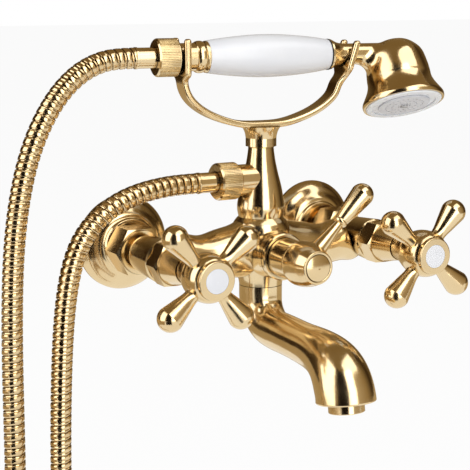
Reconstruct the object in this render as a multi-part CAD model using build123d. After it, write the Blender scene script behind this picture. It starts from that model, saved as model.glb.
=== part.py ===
from build123d import *
import math
import os

# Bath shower mixer, in millimetres. The origin is on the finished wall, midway between the
# two supply pipes: +X runs right, the mixer stands out from the wall along -Y, and +Z is up.
# Depths are measured from the wall. An outline is written as (radius, height) points along
# its own axis, and a table of shares holds fractions of the sizes named beside it.

# Fits shared by the whole mixer
overrun = 1.0
thread_clearance = 0.1
running_clearance = 0.08
seat_gap = 0.3

# Wall unions, cranked between the supply pipes and the body
inlet_centres = 150.0
body_centres = 159.0
supply_thread_radius = 10.48
supply_thread_length = 14.0
union_radius = 13.22
union_bore_radius = 8.0
union_front_length = 16.0
union_chamfer = 1.0

# Wall roses
rose_radius = 32.0
rose_nut_space = 4.2
rose_wall = 1.3
rose_shares = [
    (1.0, 0.115), (0.985, 0.19), (0.955, 0.27), (0.88, 0.42), (0.77, 0.57), (0.65, 0.76), (0.60, 0.8),
]
rose_bead_shares = [(0.575, 0.83), (0.56, 0.89), (0.54, 0.92)]
rose_mouth_share = 0.495

# Union nuts and washers
union_nut_across = 30.0
union_nut_length = 21.5
union_nut_shoulder = 4.5
union_nut_collar_radius = 14.4
union_nut_collar_length = 2.4
union_nut_gap = 4.5
washer_thickness = 2.0
washer_bore_radius = 7.4

# Body casting
tail_radius = 9.0
tail_bore_radius = 6.0
tail_flange_radius = 11.9
tail_flange_thickness = 3.0
body_back_reach = 24.0
valve_rear_radius = 12.2
valve_body_radius = 14.4
valve_body_length = 31.0
bar_depth = 59.0
bar_drop = 2.5
bar_radius = 16.6
bar_bore_radius = 7.0
bar_end_inset = 4.5
# Bar sections from the hub outwards, each (along, half width, rise, drop)
bar_section_shares = [
    (0.0, 1.0, 1.36, 1.0), (0.1, 1.01, 1.35, 1.01), (0.2, 1.02, 1.28, 1.02), (0.27, 1.02, 1.15, 1.02),
    (0.35, 1.0, 1.055, 1.0), (0.48, 0.93, 0.935, 0.95), (0.66, 0.85, 0.84, 0.87), (0.84, 0.77, 0.77, 0.78),
    (1.0, 0.7, 0.7, 0.7),
]
hub_top = 20.4
hub_bottom = 25.5
hub_top_radius = 14.9
hub_bottom_radius = 14.4
hub_radius = 19.8
hub_shares = [(0.765, 0.09), (0.86, 0.24), (0.91, 0.36), (0.95, 0.55), (0.985, 0.72), (0.985, 0.83)]
hub_shoulder_shares = [(0.93, 0.9), (0.83, 0.965)]
boss_radius = 15.5
boss_root_radius = 17.8
boss_length = 27.0
diverter_chamber_radius = 9.5
diverter_chamber_back = 9.0
column_socket_depth = 10.4
column_port_radius = 6.0
spout_socket_depth = 11.9
spout_port_radius = 6.5

# Headworks: the ceramic quarter-turn valves
chamber_radius = 10.5
seat_depth = 5.0
seat_seal_thickness = 2.0
cage_radius = 9.3
disc_radius = 7.95
disc_thickness = 2.5
disc_port_radius = 2.4
disc_port_pitch_radius = 4.4
spindle_foot_thickness = 4.0
cage_length = 14.0
cage_window_width = 9.0
headwork_across = 18.0
headwork_hex_length = 5.0
headwork_neck_radius = 7.4
headwork_neck_length = 21.0
spindle_radius = 4.0

# Shrouds over the headworks
shroud_across = 26.0
shroud_hex_length = 13.0
shroud_chamfer = 1.0
shroud_cone_radius = 12.4
shroud_front_radius = 9.0
shroud_cone_length = 17.0
shroud_bore_radius = 10.6
shroud_collar_length = 8.0

# Cross handles
handle_gap = 0.6
hub_back_radius = 8.5
handle_hub_radius = 15.2
handle_hub_length = 34.2
handle_hub_shares = [
    (0.56, 0.0), (0.585, 0.07), (0.67, 0.21), (0.82, 0.38), (0.96, 0.55), (1.0, 0.69), (0.985, 0.83),
]
handle_lip_shares = [(0.91, 0.94), (0.8, 1.0)]
arm_count = 4
arm_plane_depth = 26.1
arm_reach = 41.85
arm_ball_radius = 8.2
arm_start_share = 0.15
arm_shares = [(0.6, 0.29), (0.575, 0.38), (0.7, 0.525), (0.82, 0.635)]
left_handle_angle = 40.5
right_handle_angle = 49.6
handle_recess_radius = 9.9
handle_recess_depth = 6.8
handle_web = 4.0
handle_screw_radius = 2.0
handle_screw_head_radius = 3.6
handle_screw_head_height = 2.4
handle_screw_length = 15.0
screw_socket_across = 2.5
screw_socket_share = 0.6
cap_ring_radius = 12.0
cap_ring_thickness = 3.0
cap_ring_lip = 1.5
cap_ring_fillet = 0.8
cap_spigot_length = 4.2
cap_spigot_bore_radius = 8.9
button_radius = 7.5
button_rim_radius = 8.7
button_rim_thickness = 1.9
button_crown = 0.6

# Diverter on the front of the body
bezel_thickness = 4.0
bezel_chamfer = 0.8
bonnet_radius = 13.0
bonnet_length = 18.0
bonnet_neck_length = 12.0
bonnet_bead = 0.7
drum_radius = 9.42
drum_length = 18.0
drum_port_radius = 4.2
diverter_stem_radius = 4.0
diverter_seal_radius = 0.9
knob_gap = 0.5
knob_back_radius = 13.0
knob_radius = 14.6
knob_front_radius = 10.6
knob_length = 22.6
knob_shares = [
    (0.93, 0.04), (0.985, 0.12), (1.0, 0.2), (0.995, 0.34), (0.955, 0.52), (0.88, 0.72), (0.79, 0.88),
]
knob_recess_radius = 8.55
knob_lip_fillet = 0.8
knob_recess_depth = 5.2
knob_web = 4.0
diverter_cap_radius = 8.45
diverter_cap_thickness = 3.0
diverter_cap_crown = 1.3
lever_angle = 44.5
lever_plane_depth = 7.6
lever_socket_radius = 2.6
lever_socket_start = 7.6
lever_start = 13.2
lever_reach = 66.5
lever_root_radius = 5.4
lever_waist_radius = 3.4
lever_grip_radius = 7.7
lever_waist_share = 0.39
lever_ring_radius = 4.7
lever_ring_shares = [(0.9, 0.405), (1.0, 0.425), (0.93, 0.45)]
lever_grip_shares = [(0.73, 0.57), (0.89, 0.74), (0.985, 0.86)]

# Riser column between the body and the cradle
column_height = 46.1
column_top_radius = 8.4
column_radius = 15.8
column_shares = [
    (0.985, 0.07), (1.0, 0.16), (0.97, 0.235), (0.92, 0.335), (0.865, 0.43), (0.8, 0.52), (0.73, 0.61),
    (0.67, 0.7), (0.615, 0.79), (0.565, 0.9),
]
column_bore_radius = 5.5
column_bore_height = 29.0
column_washer_thickness = 1.5
column_washer_bore_radius = 6.2
outlet_height = 25.0
outlet_boss_radius = 10.3
outlet_boss_reach = 17.2
outlet_thread_length = 10.0

# Hose nuts, washers and ferrules, the same at both ends of the hose
hose_thread_radius = 10.38
hose_nut_radius = 12.0
hose_nut_length = 15.0
hose_nut_chamfer = 0.9
hose_nut_shoulder = 3.0
hose_washer_thickness = 2.0
hose_washer_bore_radius = 5.5
ferrule_radius = 6.6
ferrule_bore_radius = 4.5
ferrule_flange_radius = 9.6
ferrule_flange_thickness = 2.0
ferrule_length = 16.4
ferrule_bead = 0.35
ferrule_bead_width = 1.4

# Cradle that swivels on the column and carries the handset
cradle_yaw = -7.0
cradle_washer_thickness = 0.8
cradle_washer_radius = 8.6
pivot_radius = 4.0
pivot_depth = 10.0
pivot_reach = 9.5
cradle_stem_radius = 10.2
cradle_stem_height = 9.8
cradle_flare_radius = 13.0
cradle_flare_height = 4.4
cradle_flare_shares = (0.18, 0.383)
strip_sink = 1.0
strip_thickness = 4.3
strip_width = 14.0
strip_half_span = 55.2
strip_rise = 31.6
strip_shares = [
    (0.0, 0.0), (0.26, 0.02), (0.48, 0.115), (0.69, 0.265), (0.84, 0.435), (0.935, 0.615), (0.985, 0.81),
    (1.0, 1.0),
]
strip_edge = 1.5
handset_rise = 59.0
left_fork_spread = 0.0
left_fork_lean = 0.0
left_fork_top = 12.0
right_fork_spread = 3.3
right_fork_lean = 17.0
right_fork_top = 9.2
tine_width = 4.4
fork_overlap = 4.0
fork_line_shares = (0.2, 0.5, 1.0)

# Handset, turned about one line from the hose nut to the spray head
handset_left_neck_radius = 9.0
handset_right_neck_radius = 7.0
handset_thread_start = 66.5
handset_thread_length = 6.0
handset_neck_end = 47.0
bead_collar_length = 8.5
bead_collar_radius = 10.35
bead_shares = [(0.86, 0.0), (0.93, 0.1), (0.99, 0.3), (1.0, 0.5), (0.98, 0.7), (0.9, 0.87)]
bead_lip_radius = 10.2
bead_lip_length = 1.2
grip_length = 85.5
grip_radius = 13.9
grip_shares = [
    (0.755, 0.0), (0.845, 0.11), (0.945, 0.27), (1.0, 0.44), (0.985, 0.6), (0.9, 0.79), (0.775, 0.95),
    (0.725, 1.0),
]
grip_bore_radius = 6.4
grip_seal_thickness = 1.0
grip_seal_radius = 10.3
bell_collar_length = 9.0
bell_collar_radius = 10.1
bell_collar_shares = [(1.0, 0.0), (1.0, 0.14), (0.93, 0.3), (0.82, 0.55), (0.75, 0.8), (0.72, 1.0)]
core_tube_radius = 6.0
core_tube_bore_radius = 4.5
core_socket_depth = 5.0

# Spray head at the end of the handset
head_place = 97.9
head_roll = 24.6
head_radius = 27.7
head_height = 45.5
head_crown = 9.0
head_wall = 1.6
head_crown_shares = [
    (0.21, 0.022), (0.383, 0.053), (0.56, 0.138), (0.66, 0.215), (0.737, 0.369), (0.768, 0.5), (0.78, 0.593),
]
head_flare_shares = [(0.83, 0.747), (0.925, 0.857), (0.985, 0.92)]
head_rim_shares = [(1.0, 0.95), (0.99, 1.0)]
head_neck_length = 40.0
head_neck_bore_radius = 4.5
head_neck_fillet = 9.0
spray_face_thickness = 3.0
spray_face_proud = 1.0
spray_ring_radius = 21.5
spray_ring_depth = 0.8
spray_disc_radius = 17.3
spray_disc_thickness = 2.2
spray_disc_proud = 0.5
spray_hole_radius = 0.6
spray_hole_rows = 3
spray_holes_first_row = 8
spray_row_spacing = 4.2
spray_screw_radius = 1.5
spray_screw_head_radius = 2.6
spray_screw_head_height = 1.2
spray_screw_length = 7.0
spray_post_radius = 4.0

# Spout that swivels under the body
spout_radius = 14.4
spout_gap = 0.4
spout_neck_length = 7.1
spout_elbow_radius = 20.0
spout_arm_radius = 13.1
spout_reach = 105.2
spout_drop = 54.6
spout_tip_radius = 18.9
spout_wall = 2.2
spout_web = 3.0
spout_elbow_turns = [22.0, 45.0, 67.0, 86.0]
spout_arm_shares = [(0.31, 0.505, 1.0, 88.0), (0.54, 0.52, 1.015, 88.0), (0.74, 0.545, 1.13, 82.0)]
spout_bend_shares = [(0.875, 0.63, 1.3, 60.0), (0.965, 0.81, 1.41, 33.0)]
spout_tip_lean = 9.0
spout_tip_fillet = 1.2
spout_spigot_radius = 9.5
spout_spigot_length = 11.3
spout_spigot_bore_radius = 6.0
spout_seal_radius = 0.9
spout_seal_height = 3.0
spout_groove_height = 7.6
spout_groove_width = 3.0
spout_groove_depth = 0.9
spout_screw_radius = 1.5
spout_screw_length = 5.4
aerator_radius = 11.35
aerator_drop = 6.2
aerator_rise = 7.0
aerator_lip_radius = 8.8
aerator_lip_height = 1.5
aerator_insert_radius = 9.8
aerator_insert_height = 8.0
aerator_slot_width = 1.0
aerator_slot_spacing = 2.4

# Shower hose: its route from the outlet ferrule to the handset ferrule is chosen by hand
hose_radius = 6.7
hose_groove_radius = 6.1
hose_bore_radius = 4.5
hose_ribs = 200
hose_lead_length = 13.4
hose_rib_shares = [0.0, 0.2, 0.75, 0.9]
hose_bend_share = 0.45
hose_route = [
    (-74.6, -59.0, 44.3), (-88.0, -59.0, 42.0), (-100.8, -59.0, 38.0), (-112.4, -59.0, 31.8),
    (-122.2, -59.0, 23.6), (-129.7, -59.0, 13.6), (-134.8, -59.0, 2.0), (-138.2, -59.0, -11.0),
    (-140.9, -59.0, -27.0), (-143.0, -59.1, -48.0), (-144.7, -59.3, -76.0), (-146.0, -59.6, -110.0),
    (-146.6, -60.0, -147.0), (-145.6, -60.4, -184.0), (-140.8, -60.8, -219.0), (-130.5, -61.2, -252.0),
    (-114.5, -61.4, -284.0), (-98.5, -61.3, -314.0), (-88.5, -60.9, -344.0), (-87.2, -60.3, -374.0),
    (-95.8, -59.6, -402.0), (-114.0, -58.6, -424.0), (-139.5, -57.4, -436.5), (-168.0, -56.0, -437.0),
    (-194.5, -54.6, -425.0), (-214.5, -53.3, -404.0), (-226.0, -52.3, -376.5), (-227.3, -51.7, -346.0),
    (-219.5, -51.3, -315.5), (-205.0, -51.1, -285.0), (-190.8, -51.0, -252.0), (-180.8, -51.0, -215.0),
    (-175.6, -51.0, -176.0), (-173.6, -50.9, -137.0), (-173.4, -50.6, -98.0), (-173.2, -50.2, -60.0),
    (-172.2, -49.6, -25.0), (-170.2, -48.9, 6.0), (-166.9, -48.2, 31.0), (-162.2, -47.6, 53.0),
    (-156.6, -47.1, 70.6), (-149.8, -46.7, 85.4), (-142.2, -46.4, 98.0), (-133.4, -46.1, 108.8),
    (-123.2, -45.9, 117.4), (-111.9, -45.9, 123.2),
]

# Places worked out from the sizes above
tail_back = bar_depth - body_back_reach
union_reach = tail_back - washer_thickness
union_rear_length = union_reach - union_front_length
nut_front = tail_back + tail_flange_thickness + union_nut_shoulder
rose_depth = nut_front - union_nut_length - rose_nut_space
valve_back = nut_front + union_nut_gap
valve_front = valve_back + valve_body_length
seat_floor = valve_back + seat_depth
disc_floor = seat_floor + seat_seal_thickness
cage_front = disc_floor + cage_length
hex_front = valve_front + headwork_hex_length
neck_front = hex_front + headwork_neck_length
shroud_front = valve_front + shroud_hex_length + shroud_cone_length
handle_back = shroud_front + handle_gap
handle_front = handle_back + handle_hub_length
handle_floor = handle_front - handle_recess_depth
spindle_front = handle_floor - handle_web
boss_front = bar_depth + boss_length
bezel_front = boss_front + bezel_thickness
bonnet_front = bezel_front + bonnet_length
knob_back = bonnet_front + knob_gap
knob_front = knob_back + knob_length
knob_floor = knob_front - knob_recess_depth
diverter_stem_front = knob_floor - knob_web
column_top = hub_top + column_height
outlet_level = hub_top + outlet_height
cradle_bottom = column_top + cradle_washer_thickness
strip_level = cradle_bottom + cradle_stem_height + cradle_flare_height
handset_level = cradle_bottom + handset_rise
outlet_thread_end = outlet_boss_reach + outlet_thread_length
outlet_face = outlet_thread_end + hose_washer_thickness
grip_start = -handset_neck_end + bead_collar_length
grip_end = grip_start + grip_length
bell_start = grip_end + grip_seal_thickness
bell_end = bell_start + bell_collar_length
spout_joint = hub_bottom + spout_gap


def turned(start, *runs):
    """Solid turned about Z: a list of points is a line or smooth curve, a pair in a tuple an arc."""
    edges = []
    here = start
    for run in runs:
        points = [Vector(radius, 0, height) for radius, height in [here, *run]]
        if isinstance(run, tuple):
            edges.append(Edge.make_three_point_arc(*points))
        elif len(points) == 2:
            edges.append(Edge.make_line(*points))
        else:
            edges.append(Edge.make_spline(points))
        here = run[-1]
    first = Vector(start[0], 0, start[1])
    last = Vector(here[0], 0, here[1])
    if (first - last).length > 0:
        edges.append(Edge.make_line(last, first))
    return revolve(make_face(edges), Axis.Z)


def spread(shares, radius, length, base=0):
    """Outline points from (radius, height) shares of a radius and a length above a base."""
    return [(radius * across, base + length * along) for across, along in shares]


def rod(radius, low, high):
    """Round bar on the Z axis between two heights."""
    return Pos(0, 0, low) * Cylinder(radius, high - low, align=(Align.CENTER, Align.CENTER, Align.MIN))


def tube(outer, inner, low, high):
    """Round tube on the Z axis between two heights."""
    return rod(outer, low, high) - rod(inner, low - overrun, high + overrun)


def dome(radius, base, crown):
    """Arc of a round cap, from the given radius at its base to the axis, as a run for turned."""
    ball = (radius * radius + crown * crown) / (2 * crown)
    middle = math.sqrt(ball * ball - radius * radius / 4) - ball + crown
    return ((radius / 2, base + middle), (0, base + crown))


def hexagon(across, low, high, chamfer_length=0):
    """Hexagonal bar on the Z axis, its corners turned off at both ends."""
    outline = RegularPolygon(across / 2, 6, major_radius=False)
    bar = Pos(0, 0, low) * extrude(outline, high - low)
    if chamfer_length > 0:
        corner = across / math.sqrt(3)
        skirt = turned(
            (0, low),
            [(across / 2, low)],
            [(corner, low + chamfer_length)],
            [(corner, high - chamfer_length)],
            [(across / 2, high)],
            [(0, high)],
        )
        bar = bar & skirt
    return bar


def facing(x, z=0):
    """Frame on the wall whose Z axis points out of the wall, with X right and Y up."""
    return Plane(origin=(x, 0, z), x_dir=(1, 0, 0), z_dir=(0, -1, 0))


def upright(depth, z=0):
    """Frame at a depth from the wall, on the mixer's centre line, with Z up."""
    return Pos(0, -depth, z)


def sideways(depth, z):
    """Frame on the centre line whose Z axis points to the left, along -X."""
    return Plane(origin=(0, -depth, z), x_dir=(0, 1, 0), z_dir=(-1, 0, 0))


cradle_frame = Location((0, -bar_depth, 0), (0, 0, cradle_yaw))
handset_frame = cradle_frame * Plane(origin=(0, 0, handset_level), x_dir=(0, 1, 0), z_dir=(1, 0, 0)).location


def make_union(side):
    """Cranked pipe: supply thread in the wall, then two barrels out of line with each other."""
    rear = rod(supply_thread_radius, -supply_thread_length, 0) + rod(union_radius, 0, union_rear_length)
    front = rod(union_radius, union_rear_length, union_reach)
    front = chamfer(front.edges().group_by(Axis.Z)[-1], union_chamfer)
    rear_bore = rod(union_bore_radius, -supply_thread_length - overrun, union_rear_length + overrun)
    front_bore = rod(union_bore_radius, union_rear_length - overrun, union_reach + overrun)
    rear_place = facing(side * inlet_centres / 2)
    front_place = facing(side * body_centres / 2)
    solid = rear_place * rear + front_place * front
    return solid - rear_place * rear_bore - front_place * front_bore


def make_rose(side):
    """Bell-shaped cover plate, a thin shell screwed along the rear barrel of the union."""
    mouth = rose_radius * rose_mouth_share
    outer = turned(
        (0, 0),
        [(rose_radius, 0)],
        [(rose_radius, rose_depth * rose_shares[0][1])],
        spread(rose_shares[1:], rose_radius, rose_depth),
        spread(rose_bead_shares, rose_radius, rose_depth),
        [(mouth, rose_depth * rose_bead_shares[-1][1])],
        [(mouth, rose_depth)],
        [(0, rose_depth)],
    )
    inner_radius = rose_radius - rose_wall
    inner_depth = rose_depth - rose_wall
    inner = turned(
        (0, -overrun),
        [(inner_radius, -overrun)],
        [(inner_radius, inner_depth * rose_shares[0][1])],
        spread(rose_shares[1:-1], inner_radius, inner_depth),
        [(union_radius + thread_clearance, inner_depth)],
        [(0, inner_depth)],
    )
    bore = rod(union_radius + thread_clearance, 0, rose_depth + overrun)
    return facing(side * inlet_centres / 2) * (outer - inner - bore)


def make_union_nut(side):
    """Hexagon nut with a round front collar, pulling the body's tail onto the union."""
    back = nut_front - union_nut_length
    nut = hexagon(union_nut_across, back, nut_front - union_nut_collar_length, union_chamfer)
    nut += rod(union_nut_collar_radius, nut_front - union_nut_collar_length, nut_front)
    thread = rod(union_radius + thread_clearance, back - overrun, nut_front - union_nut_shoulder)
    passage = rod(tail_radius + seat_gap, back, nut_front + overrun)
    return facing(side * body_centres / 2) * (nut - thread - passage)


def make_union_washers():
    """Two flat fibre washers, one at each union."""
    ring = tube(tail_flange_radius, washer_bore_radius, union_reach, tail_back)
    return [facing(side * body_centres / 2) * ring for side in (-1, 1)]


def body_half_bar(side):
    """Half of the cross bar, lofted through oval sections that rise to the hub's top."""
    length = body_centres / 2 - bar_end_inset
    sections = []
    for along, half_width, rise, drop in bar_section_shares:
        level = bar_radius * (rise - drop) / 2 - bar_drop
        place = Plane(origin=(side * length * along, -bar_depth, level), x_dir=(0, 1, 0), z_dir=(1, 0, 0))
        sections.append(place * Ellipse(bar_radius * half_width, bar_radius * (rise + drop) / 2))
    return loft(sections[::side])


def make_body():
    """Brass casting: two valve bodies, the cross bar, the hub and the diverter boss."""
    body = body_half_bar(1) + body_half_bar(-1)
    height = hub_top + hub_bottom
    belly = spread(hub_shares + hub_shoulder_shares, hub_radius, height, -hub_bottom)
    hub = turned(
        (0, -hub_bottom),
        [(hub_bottom_radius, -hub_bottom)],
        belly + [(hub_top_radius, hub_top)],
        [(0, hub_top)],
    )
    body += upright(bar_depth) * hub
    boss = turned(
        (0, bar_depth),
        [(boss_root_radius, bar_depth)],
        [(boss_radius, boss_front - bezel_thickness)],
        [(boss_radius, boss_front)],
        [(0, boss_front)],
    )
    diverter_place = facing(0, -bar_drop)
    body += diverter_place * boss
    for side in (-1, 1):
        place = facing(side * body_centres / 2)
        valve = turned(
            (0, valve_back),
            [(valve_rear_radius - union_chamfer, valve_back)],
            [(valve_rear_radius, valve_back + union_chamfer)],
            [(valve_body_radius, valve_front - union_chamfer)],
            [(valve_body_radius - union_chamfer, valve_front)],
            [(0, valve_front)],
        )
        tail = rod(tail_radius, tail_back, valve_back + overrun)
        tail += rod(tail_flange_radius, tail_back, tail_back + tail_flange_thickness)
        body += place * (valve + tail)
    for side in (-1, 1):
        place = facing(side * body_centres / 2)
        body -= place * rod(tail_bore_radius, tail_back - overrun, seat_floor + overrun)
        body -= place * rod(chamber_radius, seat_floor, valve_front + overrun)
    bore_reach = body_centres / 2 - bar_end_inset
    cross = Plane(origin=(-bore_reach, -bar_depth, -bar_drop), x_dir=(0, 1, 0), z_dir=(1, 0, 0))
    body -= cross * rod(bar_bore_radius, 0, bore_reach * 2)
    chamber_back = bar_depth - diverter_chamber_back
    body -= diverter_place * rod(diverter_chamber_radius, chamber_back, boss_front + overrun)
    socket_radius = hose_thread_radius - thread_clearance
    body -= upright(bar_depth) * rod(socket_radius, hub_top - column_socket_depth, hub_top + overrun)
    body -= upright(bar_depth) * rod(column_port_radius, -bar_drop, hub_top)
    socket_radius = spout_spigot_radius + running_clearance
    body -= upright(bar_depth) * rod(socket_radius, -hub_bottom - overrun, spout_socket_depth - hub_bottom)
    body -= upright(bar_depth) * rod(spout_port_radius, -hub_bottom, -bar_drop)
    screw_hole = rod(spout_screw_radius + thread_clearance, bar_depth - hub_radius, bar_depth)
    body -= facing(0, spout_groove_height - hub_bottom) * screw_hole
    return body


def make_headwork(side):
    """Valve cartridge body: cage round the discs, body thread, spanner hexagon and neck."""
    body = rod(cage_radius, disc_floor, cage_front)
    body += rod(chamber_radius - thread_clearance, cage_front, valve_front)
    body += hexagon(headwork_across, valve_front, hex_front, union_chamfer)
    body += rod(headwork_neck_radius, hex_front, neck_front)
    chamber = disc_floor + disc_thickness * 2 + spindle_foot_thickness + running_clearance
    body -= rod(disc_radius + running_clearance, disc_floor - overrun, chamber)
    body -= rod(spindle_radius + running_clearance, chamber, neck_front + overrun)
    window_height = spindle_foot_thickness - overrun
    window = Box(cage_radius * 2 + overrun, cage_window_width, window_height)
    body -= Pos(0, 0, disc_floor + disc_thickness * 2 + window_height / 2) * window
    return facing(side * body_centres / 2) * body


def make_seat_seals():
    """Rubber seals between the valve seats and the cartridges."""
    ring = tube(cage_radius, tail_bore_radius, seat_floor, disc_floor)
    return [facing(side * body_centres / 2) * ring for side in (-1, 1)]


def ported_disc(floor):
    """Ceramic disc with two water ports, one each side of the axis."""
    disc = rod(disc_radius, floor, floor + disc_thickness)
    port = rod(disc_port_radius, floor - overrun, floor + disc_thickness + overrun)
    for way in (-1, 1):
        disc -= Pos(way * disc_port_pitch_radius, 0, 0) * port
    return disc


def make_fixed_discs():
    """The two fixed ceramic discs, one in each cartridge."""
    return [facing(side * body_centres / 2) * ported_disc(disc_floor) for side in (-1, 1)]


def make_turning_disc(side):
    """Ceramic disc that the spindle turns against the fixed one."""
    turn = Rot(0, 0, 90)
    return facing(side * body_centres / 2) * (turn * ported_disc(disc_floor + disc_thickness))


def make_spindle(side):
    """Valve spindle with its foot on the turning disc and a tapped end under the handle."""
    foot = disc_floor + disc_thickness * 2
    spindle = rod(disc_radius, foot, foot + spindle_foot_thickness)
    spindle += rod(spindle_radius, foot, spindle_front)
    tapping_floor = handle_floor - handle_screw_length - overrun
    tapping = rod(handle_screw_radius + thread_clearance, tapping_floor, spindle_front)
    return facing(side * body_centres / 2) * (spindle - tapping)


def make_shroud(side):
    """Hexagon and cone shell that covers the cartridge, screwed on the cartridge's neck."""
    hex_end = valve_front + shroud_hex_length
    shroud = hexagon(shroud_across, valve_front, hex_end, shroud_chamfer)
    shroud += turned(
        (0, hex_end),
        [(shroud_cone_radius, hex_end)],
        [(shroud_front_radius, shroud_front)],
        [(0, shroud_front)],
    )
    collar_back = shroud_front - shroud_collar_length
    neck_hole = headwork_neck_radius + thread_clearance
    inside = turned(
        (0, valve_front - overrun),
        [(shroud_bore_radius, valve_front - overrun)],
        [(shroud_bore_radius, hex_end)],
        [(neck_hole, collar_back)],
        [(0, collar_back)],
    )
    shroud = shroud - inside - rod(neck_hole, collar_back - overrun, shroud_front + overrun)
    return facing(side * body_centres / 2) * shroud


def make_handle(side, angle):
    """Cross handle: a bell hub with four teardrop arms, bored for the spindle and its screw."""
    hub = turned(
        (0, handle_back),
        [(hub_back_radius, handle_back)],
        spread(handle_hub_shares[1:] + handle_lip_shares, handle_hub_radius, handle_hub_length, handle_back),
        [(0, handle_front)],
    )
    ball_centre = arm_reach - arm_ball_radius
    ball_side = arm_ball_radius * math.sqrt(0.5)
    arm = turned(
        (0, arm_reach * arm_start_share),
        [(arm_ball_radius * arm_shares[0][0], arm_reach * arm_start_share)],
        spread(arm_shares, arm_ball_radius, arm_reach) + [(arm_ball_radius, ball_centre)],
        ((ball_side, ball_centre + ball_side), (0, arm_reach)),
    )
    arm_level = handle_back + arm_plane_depth
    handle = hub
    for index in range(arm_count):
        turn = math.radians(angle + index * 360 / arm_count)
        place = Plane(origin=(0, 0, arm_level), x_dir=(0, 0, 1), z_dir=(math.cos(turn), math.sin(turn), 0))
        handle += place * arm
    handle -= rod(handle_recess_radius, handle_floor, handle_front + overrun)
    handle -= rod(spindle_radius + running_clearance, handle_back - overrun, spindle_front)
    handle -= rod(handle_screw_radius + thread_clearance, spindle_front - overrun, handle_floor + overrun)
    return facing(side * body_centres / 2) * handle


def socket_screw(radius, head_radius, head_height, length, floor):
    """Screw with a round head on a floor at the given height and its shank below the floor."""
    screw = rod(radius, floor - length, floor + head_height) + rod(head_radius, floor, floor + head_height)
    socket_depth = head_height * screw_socket_share
    socket = hexagon(screw_socket_across, floor + head_height - socket_depth, floor + head_height + overrun)
    return screw - socket


def make_handle_screw(side):
    """Socket screw that holds the cross handle on its spindle."""
    screw = socket_screw(
        handle_screw_radius,
        handle_screw_head_radius,
        handle_screw_head_height,
        handle_screw_length,
        handle_floor,
    )
    return facing(side * body_centres / 2) * screw


def make_cap_ring(side):
    """Turned ring that plugs the handle and frames the porcelain button."""
    front = handle_front + cap_ring_thickness
    ring = rod(cap_ring_radius, handle_front, front)
    ring = fillet(ring.edges().group_by(Axis.Z)[-1], cap_ring_fillet)
    ring += rod(handle_recess_radius - thread_clearance, handle_front - cap_spigot_length, handle_front)
    ring -= rod(cap_spigot_bore_radius, handle_front - cap_spigot_length - overrun, front - cap_ring_lip)
    ring -= rod(button_radius + thread_clearance, handle_front, front + overrun)
    return facing(side * body_centres / 2) * ring


def make_button(side):
    """Porcelain button, clamped by its rim behind the cap ring's lip."""
    front = handle_front + cap_ring_thickness
    seat = front - cap_ring_lip
    button = turned(
        (0, seat - button_rim_thickness),
        [(button_rim_radius, seat - button_rim_thickness)],
        [(button_rim_radius, seat)],
        [(button_radius, seat)],
        [(button_radius, front)],
        dome(button_radius, front, button_crown),
    )
    return facing(side * body_centres / 2) * button


def make_diverter_bezel():
    """Ring between the body's boss and the bonnet."""
    ring = rod(boss_radius, boss_front, bezel_front)
    ring = chamfer(ring.edges().filter_by(GeomType.CIRCLE), bezel_chamfer)
    ring -= rod(diverter_chamber_radius + thread_clearance, boss_front - overrun, bezel_front + overrun)
    return facing(0, -bar_drop) * ring


def make_diverter_bonnet():
    """Screwed bonnet that holds the diverter drum in the body and guides its stem."""
    back = boss_front - bonnet_neck_length
    bonnet = turned(
        (0, bezel_front),
        [(bonnet_radius - bonnet_bead, bezel_front)],
        [(bonnet_radius, bezel_front + bonnet_bead)],
        [(bonnet_radius, bonnet_front - bonnet_bead)],
        [(bonnet_radius - bonnet_bead, bonnet_front)],
        [(0, bonnet_front)],
    )
    bonnet += rod(diverter_chamber_radius - thread_clearance, back, bezel_front)
    bonnet -= rod(diverter_stem_radius + running_clearance, back - overrun, bonnet_front + overrun)
    return facing(0, -bar_drop) * bonnet


def drum_back():
    """Depth of the diverter drum's rear face."""
    return bar_depth - diverter_chamber_back + seat_gap


def seal_depths():
    """Depths of the two ring seals on the diverter drum."""
    inset = diverter_seal_radius * 2
    return (drum_back() + inset, drum_back() + drum_length - inset)


def make_diverter_spindle():
    """Diverter drum with its cross port and grooves, and the stem that carries the knob."""
    spindle = rod(drum_radius, drum_back(), drum_back() + drum_length)
    spindle += rod(diverter_stem_radius, drum_back(), diverter_stem_front)
    groove_half = diverter_seal_radius + thread_clearance
    for depth in seal_depths():
        floor = drum_radius - diverter_seal_radius * 2
        spindle -= tube(drum_radius + overrun, floor, depth - groove_half, depth + groove_half)
    port = Plane(origin=(0, 0, bar_depth), x_dir=(0, 0, 1), z_dir=(0, 1, 0))
    spindle -= port * rod(drum_port_radius, -drum_radius - overrun, drum_radius + overrun)
    side_port = Plane(origin=(0, 0, bar_depth), x_dir=(0, 0, 1), z_dir=(1, 0, 0))
    spindle -= side_port * rod(drum_port_radius, -drum_radius - overrun, drum_radius + overrun)
    tapping_start = knob_floor - handle_screw_length - overrun
    spindle -= rod(handle_screw_radius + thread_clearance, tapping_start, diverter_stem_front)
    return facing(0, -bar_drop) * spindle


def make_diverter_seals():
    """Two rubber rings round the diverter drum."""
    ring = Torus(drum_radius - diverter_seal_radius, diverter_seal_radius - thread_clearance)
    return [facing(0, -bar_drop) * (Pos(0, 0, depth) * ring) for depth in seal_depths()]


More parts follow.
